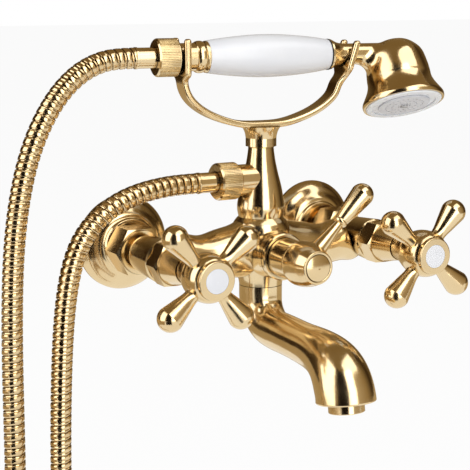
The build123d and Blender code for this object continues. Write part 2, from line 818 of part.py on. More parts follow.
def make_diverter_knob():
    """Barrel of the diverter, bored for the stem, its screw and the lever's stub."""
    knob = turned(
        (0, knob_back),
        [(knob_back_radius, knob_back)],
        spread(knob_shares, knob_radius, knob_length, knob_back) + [(knob_front_radius, knob_front)],
        [(0, knob_front)],
    )
    knob -= rod(knob_recess_radius, knob_floor, knob_front + overrun)
    knob = fillet(knob.edges().group_by(Axis.Z)[-1], knob_lip_fillet)
    knob -= rod(diverter_stem_radius + running_clearance, knob_back - overrun, diverter_stem_front)
    knob -= rod(handle_screw_radius + thread_clearance, diverter_stem_front - overrun, knob_floor + overrun)
    stub_radius = lever_socket_radius + thread_clearance
    knob -= lever_place() * rod(stub_radius, lever_socket_start - overrun, lever_start)
    knob -= lever_place() * rod(lever_root_radius + thread_clearance, lever_start, lever_start * 2)
    return facing(0, -bar_drop) * knob


def lever_place():
    """Frame on the diverter's axis whose Z axis runs along the lever."""
    turn = math.radians(lever_angle)
    level = knob_back + lever_plane_depth
    return Plane(origin=(0, 0, level), x_dir=(0, 0, 1), z_dir=(math.cos(turn), math.sin(turn), 0))


def make_diverter_screw():
    """Socket screw that holds the diverter knob on its stem."""
    head_height = min(handle_screw_head_height, knob_recess_depth - diverter_cap_thickness)
    screw = socket_screw(
        handle_screw_radius, handle_screw_head_radius, head_height, handle_screw_length, knob_floor
    )
    return facing(0, -bar_drop) * screw


def make_diverter_cap():
    """Lightly domed disc pressed in the front of the diverter knob."""
    back = knob_front - diverter_cap_thickness
    cap = turned(
        (0, back),
        [(diverter_cap_radius, back)],
        [(diverter_cap_radius, knob_front)],
        dome(diverter_cap_radius, knob_front, diverter_cap_crown),
    )
    return facing(0, -bar_drop) * cap


def make_diverter_lever():
    """Lever with a screwed stub, a waist, a small ring and a swelling grip."""
    length = lever_reach - lever_start
    waist = lever_start + length * lever_waist_share
    widest, place = lever_grip_shares[-1]
    lever = turned(
        (0, lever_start),
        [(lever_root_radius, lever_start)],
        [(lever_waist_radius, waist)],
        spread(lever_ring_shares, lever_ring_radius, length, lever_start),
        spread(lever_grip_shares, lever_grip_radius, length, lever_start),
        dome(lever_grip_radius * widest, lever_start + length * place, length * (1 - place)),
    )
    lever += rod(lever_socket_radius, lever_socket_start, lever_start)
    return facing(0, -bar_drop) * (lever_place() * lever)


def make_column():
    """Riser column: screwed foot, vase-shaped barrel, side outlet and swivel socket."""
    column = turned(
        (0, hub_top),
        [(hub_top_radius, hub_top)],
        spread(column_shares, column_radius, column_height, hub_top) + [(column_top_radius, column_top)],
        [(0, column_top)],
    )
    spigot_end = hub_top - column_socket_depth + column_washer_thickness
    column += rod(hose_thread_radius - thread_clearance * 2, spigot_end, hub_top)
    column -= rod(column_bore_radius, spigot_end - overrun, hub_top + column_bore_height)
    column -= rod(pivot_radius + thread_clearance, column_top - pivot_depth, column_top + overrun)
    column = upright(bar_depth) * column
    outlet = sideways(bar_depth, outlet_level)
    column += outlet * rod(outlet_boss_radius, 0, outlet_boss_reach)
    column += outlet * rod(hose_thread_radius, outlet_boss_reach, outlet_thread_end)
    column -= upright(bar_depth) * rod(column_bore_radius, hub_top, hub_top + column_bore_height)
    return column - outlet * rod(column_bore_radius, 0, outlet_thread_end + overrun)


def make_column_washers():
    """Washers of the riser column: a fibre one under its foot and a rubber one at its outlet."""
    floor = hub_top - column_socket_depth
    radius = hose_thread_radius - thread_clearance * 2
    ring = tube(radius, column_washer_bore_radius, floor, floor + column_washer_thickness)
    return [upright(bar_depth) * ring, outlet_end * hose_washer()]


def hose_nut():
    """Coupling nut with its clamping face at height zero, opening towards -Z."""
    shoulder_back = ferrule_flange_thickness
    front = shoulder_back + hose_nut_shoulder
    back = front - hose_nut_length
    nut = rod(hose_nut_radius, back, front)
    nut = chamfer(nut.edges().filter_by(GeomType.CIRCLE), hose_nut_chamfer)
    nut -= rod(hose_thread_radius + thread_clearance, back - overrun, shoulder_back)
    return nut - rod(ferrule_radius + seat_gap, back, front + overrun)


def ferrule():
    """Hose end: a flange inside the nut, then a tube with a small bead at the hose."""
    end = ferrule_flange_thickness + ferrule_length
    piece = rod(ferrule_flange_radius, 0, ferrule_flange_thickness) + rod(ferrule_radius, 0, end)
    piece += rod(ferrule_radius + ferrule_bead, end - ferrule_bead_width, end)
    return piece - rod(ferrule_bore_radius, -overrun, end + overrun)


def hose_washer():
    """Rubber washer between a hose thread and the ferrule's flange."""
    return tube(ferrule_flange_radius, hose_washer_bore_radius, -hose_washer_thickness, 0)


outlet_end = sideways(bar_depth, outlet_level) * Pos(0, 0, outlet_face)
handset_end = handset_frame * Pos(0, 0, -handset_thread_start - hose_washer_thickness) * Rot(0, 180, 0)


def make_cradle_pivot():
    """Steel pin screwed in the column, on which the cradle swivels."""
    return upright(bar_depth) * rod(pivot_radius, column_top - pivot_depth, column_top + pivot_reach)


def make_cradle_washer():
    """Thin brass washer between the column and the cradle."""
    ring = tube(cradle_washer_radius, pivot_radius + thread_clearance, column_top, cradle_bottom)
    return upright(bar_depth) * ring


def strip_line(offset, side, wider, lean):
    """Points of half of the cradle's bow, moved off its middle line by an offset."""
    middle = spread(strip_shares, strip_half_span, strip_rise, strip_level)
    middle[-1] = (middle[-1][0] + wider, middle[-1][1])
    moved = []
    for index, (x, z) in enumerate(middle):
        ahead = middle[min(index + 1, len(middle) - 1)]
        behind = middle[max(index - 1, 0)]
        run = Vector(ahead[0] - behind[0], ahead[1] - behind[1])
        if index == 0:
            run = Vector(1, 0)
        if index == len(middle) - 1:
            run = Vector(math.sin(math.radians(lean)), math.cos(math.radians(lean)))
        run = run.normalized()
        moved.append(Vector(side * (x + offset * run.Y), 0, z - offset * run.X))
    return moved


def up_fork(point, side, lean):
    """Points straight up a fork from one of the bow's ends, to past the fork's tip."""
    rise = handset_level + max(left_fork_top, right_fork_top) + overrun - point.Z
    across = side * math.tan(math.radians(lean))
    return [point + Vector(across, 0, 1) * (rise * share) for share in fork_line_shares]


def bow():
    """The cradle's bow seen from the front, with both forks, as a slab as deep as a fork is wide."""
    half = strip_thickness / 2
    lines = []
    for offset in (half, -half):
        left = strip_line(offset, -1, left_fork_spread, left_fork_lean)
        right = strip_line(offset, 1, right_fork_spread, right_fork_lean)
        up_left = up_fork(left[-1], -1, left_fork_lean)
        up_right = up_fork(right[-1], 1, right_fork_lean)
        lines.append(up_left[::-1] + left[::-1] + right[1:] + up_right)
    outer, inner = lines
    edges = [
        Edge.make_spline(outer),
        Edge.make_line(outer[-1], inner[-1]),
        Edge.make_spline(inner[::-1]),
        Edge.make_line(inner[0], outer[0]),
    ]
    depth = handset_left_neck_radius + seat_gap + tine_width + overrun
    return Pos(0, depth, 0) * extrude(make_face(edges), depth * 2, dir=(0, -1, 0))


def fork_side(side, neck_radius, top):
    """Side view of half of the cradle: the strip, widening to a fork with a round-bottomed notch."""
    notch = neck_radius + seat_gap
    half_width = notch + tine_width
    strip_half = strip_width / 2
    low = strip_level - strip_thickness
    foot = strip_level + strip_rise - fork_overlap
    shoulder = handset_level - notch
    tip = handset_level + top
    crest = tip - tine_width / 2
    rising = [(0, 1), (0, 1)]
    outline = [
        Edge.make_line(Vector(-strip_half, low), Vector(strip_half, low)),
        Edge.make_line(Vector(strip_half, low), Vector(strip_half, foot)),
        Edge.make_spline([Vector(strip_half, foot), Vector(half_width, shoulder)], tangents=rising),
        Edge.make_line(Vector(half_width, shoulder), Vector(half_width, crest)),
        Edge.make_three_point_arc(
            Vector(half_width, crest), Vector(notch + tine_width / 2, tip), Vector(notch, crest)
        ),
        Edge.make_line(Vector(notch, crest), Vector(notch, handset_level)),
        Edge.make_three_point_arc(
            Vector(notch, handset_level), Vector(0, handset_level - notch), Vector(-notch, handset_level)
        ),
        Edge.make_line(Vector(-notch, handset_level), Vector(-notch, crest)),
        Edge.make_three_point_arc(
            Vector(-notch, crest), Vector(-notch - tine_width / 2, tip), Vector(-half_width, crest)
        ),
        Edge.make_line(Vector(-half_width, crest), Vector(-half_width, shoulder)),
        Edge.make_spline([Vector(-strip_half, foot), Vector(-half_width, shoulder)], tangents=rising),
        Edge.make_line(Vector(-strip_half, foot), Vector(-strip_half, low)),
    ]
    side_view = Plane(origin=(0, 0, 0), x_dir=(0, 1, 0), z_dir=(1, 0, 0))
    return extrude(side_view * make_face(outline), head_place, dir=(side, 0, 0))


def make_bow():
    """The cradle's strip and its two forks, cast in one with rounded edges."""
    sides = fork_side(-1, handset_left_neck_radius, left_fork_top)
    sides += fork_side(1, handset_right_neck_radius, right_fork_top)
    strip = bow() & sides
    across = strip.edges().filter_by(Axis.X) + strip.edges().filter_by(Axis.Y)
    return fillet(strip.edges() - across, strip_edge)


def make_cradle():
    """Swivel cradle: stem, bow and two forks, bored for the pivot pin."""
    flare_base = cradle_bottom + cradle_stem_height - cradle_flare_height
    flare_top = strip_level - strip_thickness / 2 + strip_sink
    outward, upward = cradle_flare_shares
    growth = cradle_flare_radius - cradle_stem_radius
    waist = (cradle_stem_radius + growth * outward, flare_base + (flare_top - flare_base) * upward)
    cradle = turned(
        (0, cradle_bottom),
        [(cradle_stem_radius, cradle_bottom)],
        [(cradle_stem_radius, flare_base)],
        (waist, (cradle_flare_radius, flare_top)),
        [(0, flare_top)],
    )
    cradle += make_bow()
    pivot_bore = pivot_radius + running_clearance
    cradle -= rod(pivot_bore, cradle_bottom - overrun, column_top + pivot_reach + overrun)
    return cradle_frame * cradle


def make_handset_connector():
    """Threaded inlet of the handset, with the neck that rests in the left fork."""
    start = -handset_thread_start
    thread_end = start + handset_thread_length
    piece = rod(hose_thread_radius, start, thread_end)
    piece += rod(handset_left_neck_radius, thread_end, -handset_neck_end)
    piece -= rod(core_tube_bore_radius, start - overrun, -handset_neck_end + overrun)
    socket = core_tube_radius + thread_clearance
    piece -= rod(socket, -handset_neck_end - core_socket_depth, -handset_neck_end + overrun)
    return handset_frame * piece


def make_handset_collar():
    """Turned bead between the inlet and the porcelain grip."""
    start = -handset_neck_end
    bead_length = bead_collar_length - bead_lip_length
    collar = turned(
        (0, start),
        [(bead_collar_radius * bead_shares[0][0], start)],
        spread(bead_shares[1:], bead_collar_radius, bead_length, start),
        [(bead_lip_radius, grip_start - bead_lip_length)],
        [(bead_lip_radius, grip_start)],
        [(0, grip_start)],
    )
    hole = rod(core_tube_radius + thread_clearance, start - overrun, grip_start + overrun)
    return handset_frame * (collar - hole)


def make_handset_grip():
    """Porcelain barrel of the handset, hollow round the core tube."""
    grip = turned(
        (0, grip_start),
        [(grip_radius * grip_shares[0][0], grip_start)],
        spread(grip_shares[1:], grip_radius, grip_length, grip_start),
        [(0, grip_end)],
    )
    return handset_frame * (grip - rod(grip_bore_radius, grip_start - overrun, grip_end + overrun))


def make_handset_grip_seal():
    """Dark ring between the porcelain and the bell collar."""
    return handset_frame * tube(grip_seal_radius, core_tube_radius + thread_clearance, grip_end, bell_start)


def make_handset_bell_collar():
    """Turned collar narrowing from the grip to the head's neck."""
    collar = turned(
        (0, bell_start),
        [(bell_collar_radius, bell_start)],
        [(bell_collar_radius, bell_start + bell_collar_length * bell_collar_shares[1][1])],
        spread(bell_collar_shares[2:], bell_collar_radius, bell_collar_length, bell_start),
        [(0, bell_end)],
    )
    hole = rod(core_tube_radius + thread_clearance, bell_start - overrun, bell_end + overrun)
    return handset_frame * (collar - hole)


def make_handset_core_tube():
    """Brass tube through the porcelain, screwed in the inlet and in the head."""
    start = -handset_neck_end - core_socket_depth
    return handset_frame * tube(core_tube_radius, core_tube_bore_radius, start, bell_end + core_socket_depth)


roll = math.radians(head_roll)
head_frame = cradle_frame * Plane(
    origin=(head_place, 0, handset_level), x_dir=(1, 0, 0), z_dir=(0, -math.sin(roll), -math.cos(roll))
).location
head_mouth = head_height - head_crown


def bell(radius, height, base):
    """Bell outline of the head as a solid, with its crown at the base height."""
    return turned(
        (0, base),
        spread(head_crown_shares, radius, height, base),
        spread(head_flare_shares, radius, height, base),
        spread(head_rim_shares, radius, height, base),
        [(0, base + height)],
    )


def on_neck_seam(edge):
    """Whether an edge of the head, in the head's frame, is the seam between neck and bell."""
    return edge.geom_type not in (GeomType.CIRCLE, GeomType.LINE) and abs(edge.center().Z) < head_crown


def make_handset_head():
    """Bell-shaped head shell, one piece with its neck."""
    along = head_frame.inverse() * handset_frame
    head = bell(head_radius, head_height, -head_crown)
    head += along * rod(handset_right_neck_radius, bell_end, bell_end + head_neck_length)
    head = fillet([edge for edge in head.edges() if on_neck_seam(edge)], head_neck_fillet)
    head -= bell(head_radius - head_wall, head_height - head_wall, head_wall - head_crown)
    mouth_radius = (head_radius - head_wall) * head_rim_shares[-1][0]
    head -= rod(mouth_radius, head_mouth - overrun / 2, head_mouth + overrun)
    head -= along * rod(head_neck_bore_radius, bell_end - overrun, bell_end + head_neck_length)
    socket = rod(core_tube_radius + thread_clearance, bell_end - overrun, bell_end + core_socket_depth)
    return head_frame * (head - along * socket)


def make_spray_face():
    """White plastic face that closes the head, with a shallow ring groove."""
    radius = (head_radius - head_wall) * head_rim_shares[-1][0] - thread_clearance
    front = head_mouth + spray_face_proud
    back = front - spray_face_thickness
    face = rod(radius, back, front)
    face = fillet(face.edges().group_by(Axis.Z)[-1], spray_ring_depth)
    groove = spray_disc_radius + thread_clearance
    face -= tube(spray_ring_radius, groove, front - spray_ring_depth, front + overrun)
    face -= rod(groove, front - spray_disc_thickness + spray_disc_proud, front + overrun)
    face += rod(spray_post_radius, back - spray_screw_length, back)
    face -= rod(spray_screw_radius + thread_clearance, back - spray_screw_length - overrun, front + overrun)
    return head_frame * face


def spray_row_places():
    """Places of the spray holes, ring by ring."""
    places = []
    for row in range(spray_hole_rows):
        radius = spray_row_spacing * (row + 1)
        count = spray_holes_first_row * (row + 1)
        for index in range(count):
            turn = 2 * math.pi * index / count
            places.append((radius * math.cos(turn), radius * math.sin(turn)))
    return places


def make_spray_disc():
    """Grey spray disc with rings of fine holes."""
    back = head_mouth + spray_face_proud + spray_disc_proud - spray_disc_thickness
    front = back + spray_disc_thickness
    plate = Circle(spray_disc_radius) - [Pos(x, y) * Circle(spray_hole_radius) for x, y in spray_row_places()]
    plate -= Circle(spray_screw_radius + thread_clearance)
    return head_frame * (Pos(0, 0, back) * extrude(plate, front - back))


def make_spray_screw():
    """Screw in the middle of the spray disc."""
    front = head_mouth + spray_face_proud + spray_disc_proud
    screw = rod(spray_screw_radius, front - spray_screw_length, front)
    head = rod(spray_screw_head_radius, front, front + spray_screw_head_height)
    slot = Box(spray_screw_head_radius * 2 + overrun, spray_screw_radius / 2, spray_screw_head_height)
    return head_frame * (screw + head - Pos(0, 0, front + spray_screw_head_height) * slot)


def spout_stations():
    """Middle line of the spout as (depth, level, radius, lean) stations, the lean from straight down."""
    stations = [
        (bar_depth, -spout_joint, spout_radius, 0),
        (bar_depth, -spout_joint - spout_neck_length, spout_radius, 0),
    ]
    pivot_level = -spout_joint - spout_neck_length
    for lean in spout_elbow_turns:
        turn = math.radians(lean)
        depth = bar_depth + spout_elbow_radius * (1 - math.cos(turn))
        level = pivot_level - spout_elbow_radius * math.sin(turn)
        blend = lean / spout_elbow_turns[-1]
        radius = spout_radius + (spout_arm_radius - spout_radius) * blend
        stations.append((depth, level, radius, lean))
    for along, down, wide, lean in spout_arm_shares + spout_bend_shares:
        depth = bar_depth + spout_reach * along
        stations.append((depth, -spout_joint - spout_drop * down, spout_arm_radius * wide, lean))
    tip = (bar_depth + spout_reach, -spout_joint - spout_drop, spout_tip_radius, spout_tip_lean)
    return stations + [tip]


def lofted(stations, inset=0):
    """Smooth round bar through the stations, thinner by an inset."""
    rings = []
    for depth, level, radius, lean in stations:
        turn = math.radians(lean)
        plane = Plane(
            origin=(0, -depth, level), x_dir=(1, 0, 0), z_dir=(0, -math.sin(turn), -math.cos(turn))
        )
        rings.append(plane * Circle(radius - inset))
    return loft(rings)


def tip_plane():
    """Frame at the middle of the spout's mouth whose Z axis points out of it."""
    depth, level, _, lean = spout_stations()[-1]
    turn = math.radians(lean)
    return Plane(origin=(0, -depth, level), x_dir=(1, 0, 0), z_dir=(0, -math.sin(turn), -math.cos(turn)))


def make_spout():
    """Hollow cast spout with a swivel spigot above and a bored mouth."""
    stations = spout_stations()
    outer = lofted(stations)
    outer = fillet(outer.edges().sort_by(Axis.Z)[:1], spout_tip_fillet)
    depth, level, radius, lean = stations[0]
    top = (depth, level - spout_web, radius, lean)
    depth, level, radius, lean = stations[-1]
    turn = math.radians(lean)
    last = (depth - spout_web * math.sin(turn), level + spout_web * math.cos(turn), radius, lean)
    inner = lofted([top] + stations[1:-1] + [last], spout_wall)
    spout = outer - inner
    spigot_top = spout_spigot_length - spout_joint
    spout += upright(bar_depth) * rod(spout_spigot_radius, -spout_joint, spigot_top)
    bore_low = -spout_joint - spout_web - overrun
    spout -= upright(bar_depth) * rod(spout_spigot_bore_radius, bore_low, spigot_top + overrun)
    seal_half = spout_seal_radius + thread_clearance
    seal_level = spout_seal_height - spout_joint
    seal_floor = spout_spigot_radius - spout_seal_radius * 2
    groove = tube(spout_spigot_radius + overrun, seal_floor, seal_level - seal_half, seal_level + seal_half)
    groove_level = spout_groove_height - hub_bottom
    screw_groove = tube(
        spout_spigot_radius + overrun,
        spout_spigot_radius - spout_groove_depth,
        groove_level - spout_groove_width / 2,
        groove_level + spout_groove_width / 2,
    )
    spout -= upright(bar_depth) * (groove + screw_groove)
    return spout - tip_plane() * rod(aerator_radius + thread_clearance, -aerator_rise, overrun)


def make_spout_seal():
    """Rubber ring in the spout spigot's lower groove."""
    ring = Torus(spout_spigot_radius - spout_seal_radius, spout_seal_radius - thread_clearance)
    return upright(bar_depth, spout_seal_height - spout_joint) * ring


def make_spout_screw():
    """Grub screw at the back of the hub that keeps the spout's spigot in its socket."""
    tip = bar_depth - spout_spigot_radius + spout_groove_depth / 3
    head = tip - spout_screw_length
    screw = rod(spout_screw_radius, head, tip)
    socket = hexagon(spout_screw_radius, head - overrun, head + overrun)
    return facing(0, spout_groove_height - hub_bottom) * (screw - socket)


def make_aerator_housing():
    """Threaded sleeve of the aerator, showing as a short ring under the spout."""
    sleeve = rod(aerator_radius, -aerator_rise, aerator_drop)
    sleeve = chamfer(sleeve.edges().group_by(Axis.Z)[-1], aerator_lip_height / 3)
    lip_back = aerator_drop - aerator_lip_height
    sleeve -= rod(aerator_insert_radius + thread_clearance, -aerator_rise - overrun, lip_back)
    sleeve -= rod(aerator_lip_radius, lip_back - overrun, aerator_drop + overrun)
    return tip_plane() * sleeve


def make_aerator_insert():
    """Plastic jet regulator in the aerator, slotted across."""
    front = aerator_drop - aerator_lip_height
    insert = rod(aerator_insert_radius, front - aerator_insert_height, front)
    reach = aerator_lip_radius
    steps = int(reach / aerator_slot_spacing)
    for index in range(-steps, steps + 1):
        offset = index * aerator_slot_spacing
        length = 2 * math.sqrt(reach * reach - offset * offset)
        slot = Box(aerator_slot_width, length - overrun, aerator_insert_height + overrun * 2)
        if index % 2 == 0:
            insert -= Pos(offset, 0, front - aerator_insert_height / 2) * slot
    return tip_plane() * insert


def hose_points():
    """Route of the hose with the straight leads at its two ferrules."""
    reach = ferrule_flange_thickness + ferrule_length
    first = outlet_end * Pos(0, 0, reach)
    last = handset_end * Pos(0, 0, reach)
    lead_out = first * Pos(0, 0, hose_lead_length)
    lead_in = last * Pos(0, 0, hose_lead_length)
    ends = [first, lead_out, lead_in, last]
    start, second, before, end = [Vector(place.position) for place in ends]
    return [start, second, *[Vector(*point) for point in hose_route], before, end]


def hose_path():
    """Straight runs joined by tangent arcs, each arc as large as its two runs allow."""
    points = hose_points()
    radii = []
    for behind, here, ahead in zip(points, points[1:], points[2:]):
        turn = math.radians((here - behind).get_angle(ahead - here))
        shorter = min((here - behind).length, (ahead - here).length)
        radii.append(hose_bend_share * shorter / math.tan(turn / 2))
    print("hose bend radii", [round(radius) for radius in radii], "least", round(min(radii), 1))
    return FilletPolyline(*points, radius=radii)


def make_hose():
    """Ribbed metal hose with its bore, a ruled loft through four circles to each rib."""
    path = hose_path().wires()[0]
    pitch = 1 / hose_ribs
    rings = []
    for rib in range(hose_ribs):
        for order, share in enumerate(hose_rib_shares):
            radius = hose_radius if order in (1, 2) else hose_groove_radius
            rings.append(hose_ring(path, (rib + share) * pitch, radius))
    rings.append(hose_ring(path, 1, hose_groove_radius))
    skin = Solid.make_loft(rings, ruled=True)
    section = Plane(origin=path.position_at(0), z_dir=path.tangent_at(0)) * Circle(hose_bore_radius)
    bore = sweep(section, path)
    print("hose length", round(path.length, 1))
    area = math.pi * hose_bore_radius ** 2
    print("bore volume over section times length", round(bore.volume / (area * path.length), 4))
    return skin - bore


def hose_ring(path, place, radius):
    """Circle across the hose at a share of its length, its X axis kept steady."""
    tangent = path.tangent_at(place)
    steady = Vector(0, 1, 0) - tangent * tangent.dot(Vector(0, 1, 0))
    plane = Plane(origin=path.position_at(place), x_dir=steady, z_dir=tangent)
    return Wire.make_circle(radius, plane)


def pair(name, maker, *angles):
    """The left and right copies of a piece, each in its own node."""
    made = {}
    for order, (word, side) in enumerate((("left", -1), ("right", 1))):
        made[f"{name}_{word}"] = maker(side, *angles[order:order + 1])
    return made


pieces = {
    **pair("wall_union", make_union),
    **pair("wall_rose", make_rose),
    **pair("union_nut", make_union_nut),
    "union_washers": make_union_washers(),
    "mixer_body": make_body(),
    **pair("headwork", make_headwork),
    "seat_seals": make_seat_seals(),
    "fixed_discs": make_fixed_discs(),
    **pair("turning_disc", make_turning_disc),
    **pair("spindle", make_spindle),
    **pair("shroud", make_shroud),
    **pair("handle", make_handle, left_handle_angle, right_handle_angle),
    **pair("handle_screw", make_handle_screw),
    **pair("cap_ring", make_cap_ring),
    **pair("button", make_button),
    "diverter_bezel": make_diverter_bezel(),
    "diverter_bonnet": make_diverter_bonnet(),
    "diverter_spindle": make_diverter_spindle(),
    "diverter_seals": make_diverter_seals(),
    "diverter_knob": make_diverter_knob(),
    "diverter_screw": make_diverter_screw(),
    "diverter_cap": make_diverter_cap(),
    "diverter_lever": make_diverter_lever(),
    "riser_column": make_column(),
    "column_washers": make_column_washers(),
    "outlet_hose_nut": outlet_end * hose_nut(),
    "outlet_ferrule": outlet_end * ferrule(),
    "cradle_pivot": make_cradle_pivot(),
    "cradle_washer": make_cradle_washer(),
    "cradle": make_cradle(),
    "handset_hose_nut": handset_end * hose_nut(),
    "handset_ferrule": handset_end * ferrule(),
    "handset_washer": handset_end * hose_washer(),
    "handset_connector": make_handset_connector(),
    "handset_collar": make_handset_collar(),
    "handset_grip": make_handset_grip(),
    "handset_grip_seal": make_handset_grip_seal(),
    "handset_bell_collar": make_handset_bell_collar(),
    "handset_core_tube": make_handset_core_tube(),
    "handset_head": make_handset_head(),
    "spray_face": make_spray_face(),
    "spray_disc": make_spray_disc(),
    "spray_screw": make_spray_screw(),
    "spout": make_spout(),
    "spout_seal": make_spout_seal(),
    "spout_screw": make_spout_screw(),
    "aerator_housing": make_aerator_housing(),
    "aerator_insert": make_aerator_insert(),
    "shower_hose": make_hose(),
}

os.makedirs("parts", exist_ok=True)
for name, shape in pieces.items():
    solid = Compound(children=shape) if isinstance(shape, list) else shape
    export_step(solid, f"parts/{name}.step")
print(len(pieces), "nodes")
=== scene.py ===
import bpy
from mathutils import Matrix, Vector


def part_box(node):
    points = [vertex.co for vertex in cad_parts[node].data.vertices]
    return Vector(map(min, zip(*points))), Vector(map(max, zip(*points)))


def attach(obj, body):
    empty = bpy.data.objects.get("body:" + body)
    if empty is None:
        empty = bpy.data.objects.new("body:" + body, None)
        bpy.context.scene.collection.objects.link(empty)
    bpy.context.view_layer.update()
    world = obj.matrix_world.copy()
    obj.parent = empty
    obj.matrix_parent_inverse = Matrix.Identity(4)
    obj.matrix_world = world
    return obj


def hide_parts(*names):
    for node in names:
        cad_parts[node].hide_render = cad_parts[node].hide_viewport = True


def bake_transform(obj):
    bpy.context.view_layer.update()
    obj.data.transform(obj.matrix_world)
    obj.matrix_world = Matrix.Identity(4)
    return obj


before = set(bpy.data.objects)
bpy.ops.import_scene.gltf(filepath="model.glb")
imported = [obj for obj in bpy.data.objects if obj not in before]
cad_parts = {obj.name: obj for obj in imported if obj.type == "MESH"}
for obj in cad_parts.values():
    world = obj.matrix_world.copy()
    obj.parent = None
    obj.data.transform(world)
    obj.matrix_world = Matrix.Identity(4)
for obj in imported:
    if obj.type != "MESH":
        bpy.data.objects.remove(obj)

"""Bath shower mixer in polished brass: the finishes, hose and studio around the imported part."""

import logging
import math
from collections.abc import Callable, Iterable, Sequence
from dataclasses import dataclass, field
from enum import Enum
from typing import Any

import bmesh
import bpy
import numpy as np
from mathutils import Matrix, Vector

log = logging.getLogger("shower_mixer")

MM = 0.001
Point = tuple[float, float, float]

# The stretches of a noise that the patterns spread over, as most of it lies in its middle
MOTTLE_SPAN = (0.35, 0.7)
GLOSS_SPAN = (0.3, 0.7)
# The share of open air over a point, for the painted crevice shade: below the first it is all
# shade, above the second none
CREVICE_SPAN = (0.25, 0.8)


class Side(Enum):
    """The two ends of the mixer, seen from the front."""

    LEFT = "left"
    RIGHT = "right"


class Body(Enum):
    """The bodies that the pieces ride on."""

    MIXER = "mixer"
    CRADLE = "cradle"
    HANDSET = "handset"


def linear(hex_colour: str) -> tuple[float, float, float, float]:
    """Turns an sRGB colour to the linear values that a shader takes.

    Args:
        hex_colour: six hex digits.

    Returns:
        Red, green, blue and an alpha of 1.
    """
    shares = [int(hex_colour[i : i + 2], 16) / 255 for i in (0, 2, 4)]
    low = 0.04045
    red, green, blue = (
        s / 12.92 if s <= low else ((s + 0.055) / 1.055) ** 2.4 for s in shares
    )
    return red, green, blue, 1.0


def node(tree: bpy.types.NodeTree, kind: str, settings: dict[str, Any] | None = None,
         links: dict[str, bpy.types.NodeSocket] | None = None) -> bpy.types.Node:
    """Adds one shader node.

    Args:
        tree: the material's or world's node tree.
        kind: the node's class name without ShaderNode.
        settings: values for its attributes, or for its sockets by name or place.
        links: the sockets that feed its inputs, by name or place.

    Returns:
        The new node.
    """
    made = tree.nodes.new("ShaderNode" + kind)
    for name, value in (settings or {}).items():
        if isinstance(name, str) and hasattr(made, name):
            setattr(made, name, value)
        else:
            made.inputs[name].default_value = value
    for name, socket in (links or {}).items():
        tree.links.new(socket, made.inputs[name])
    return made


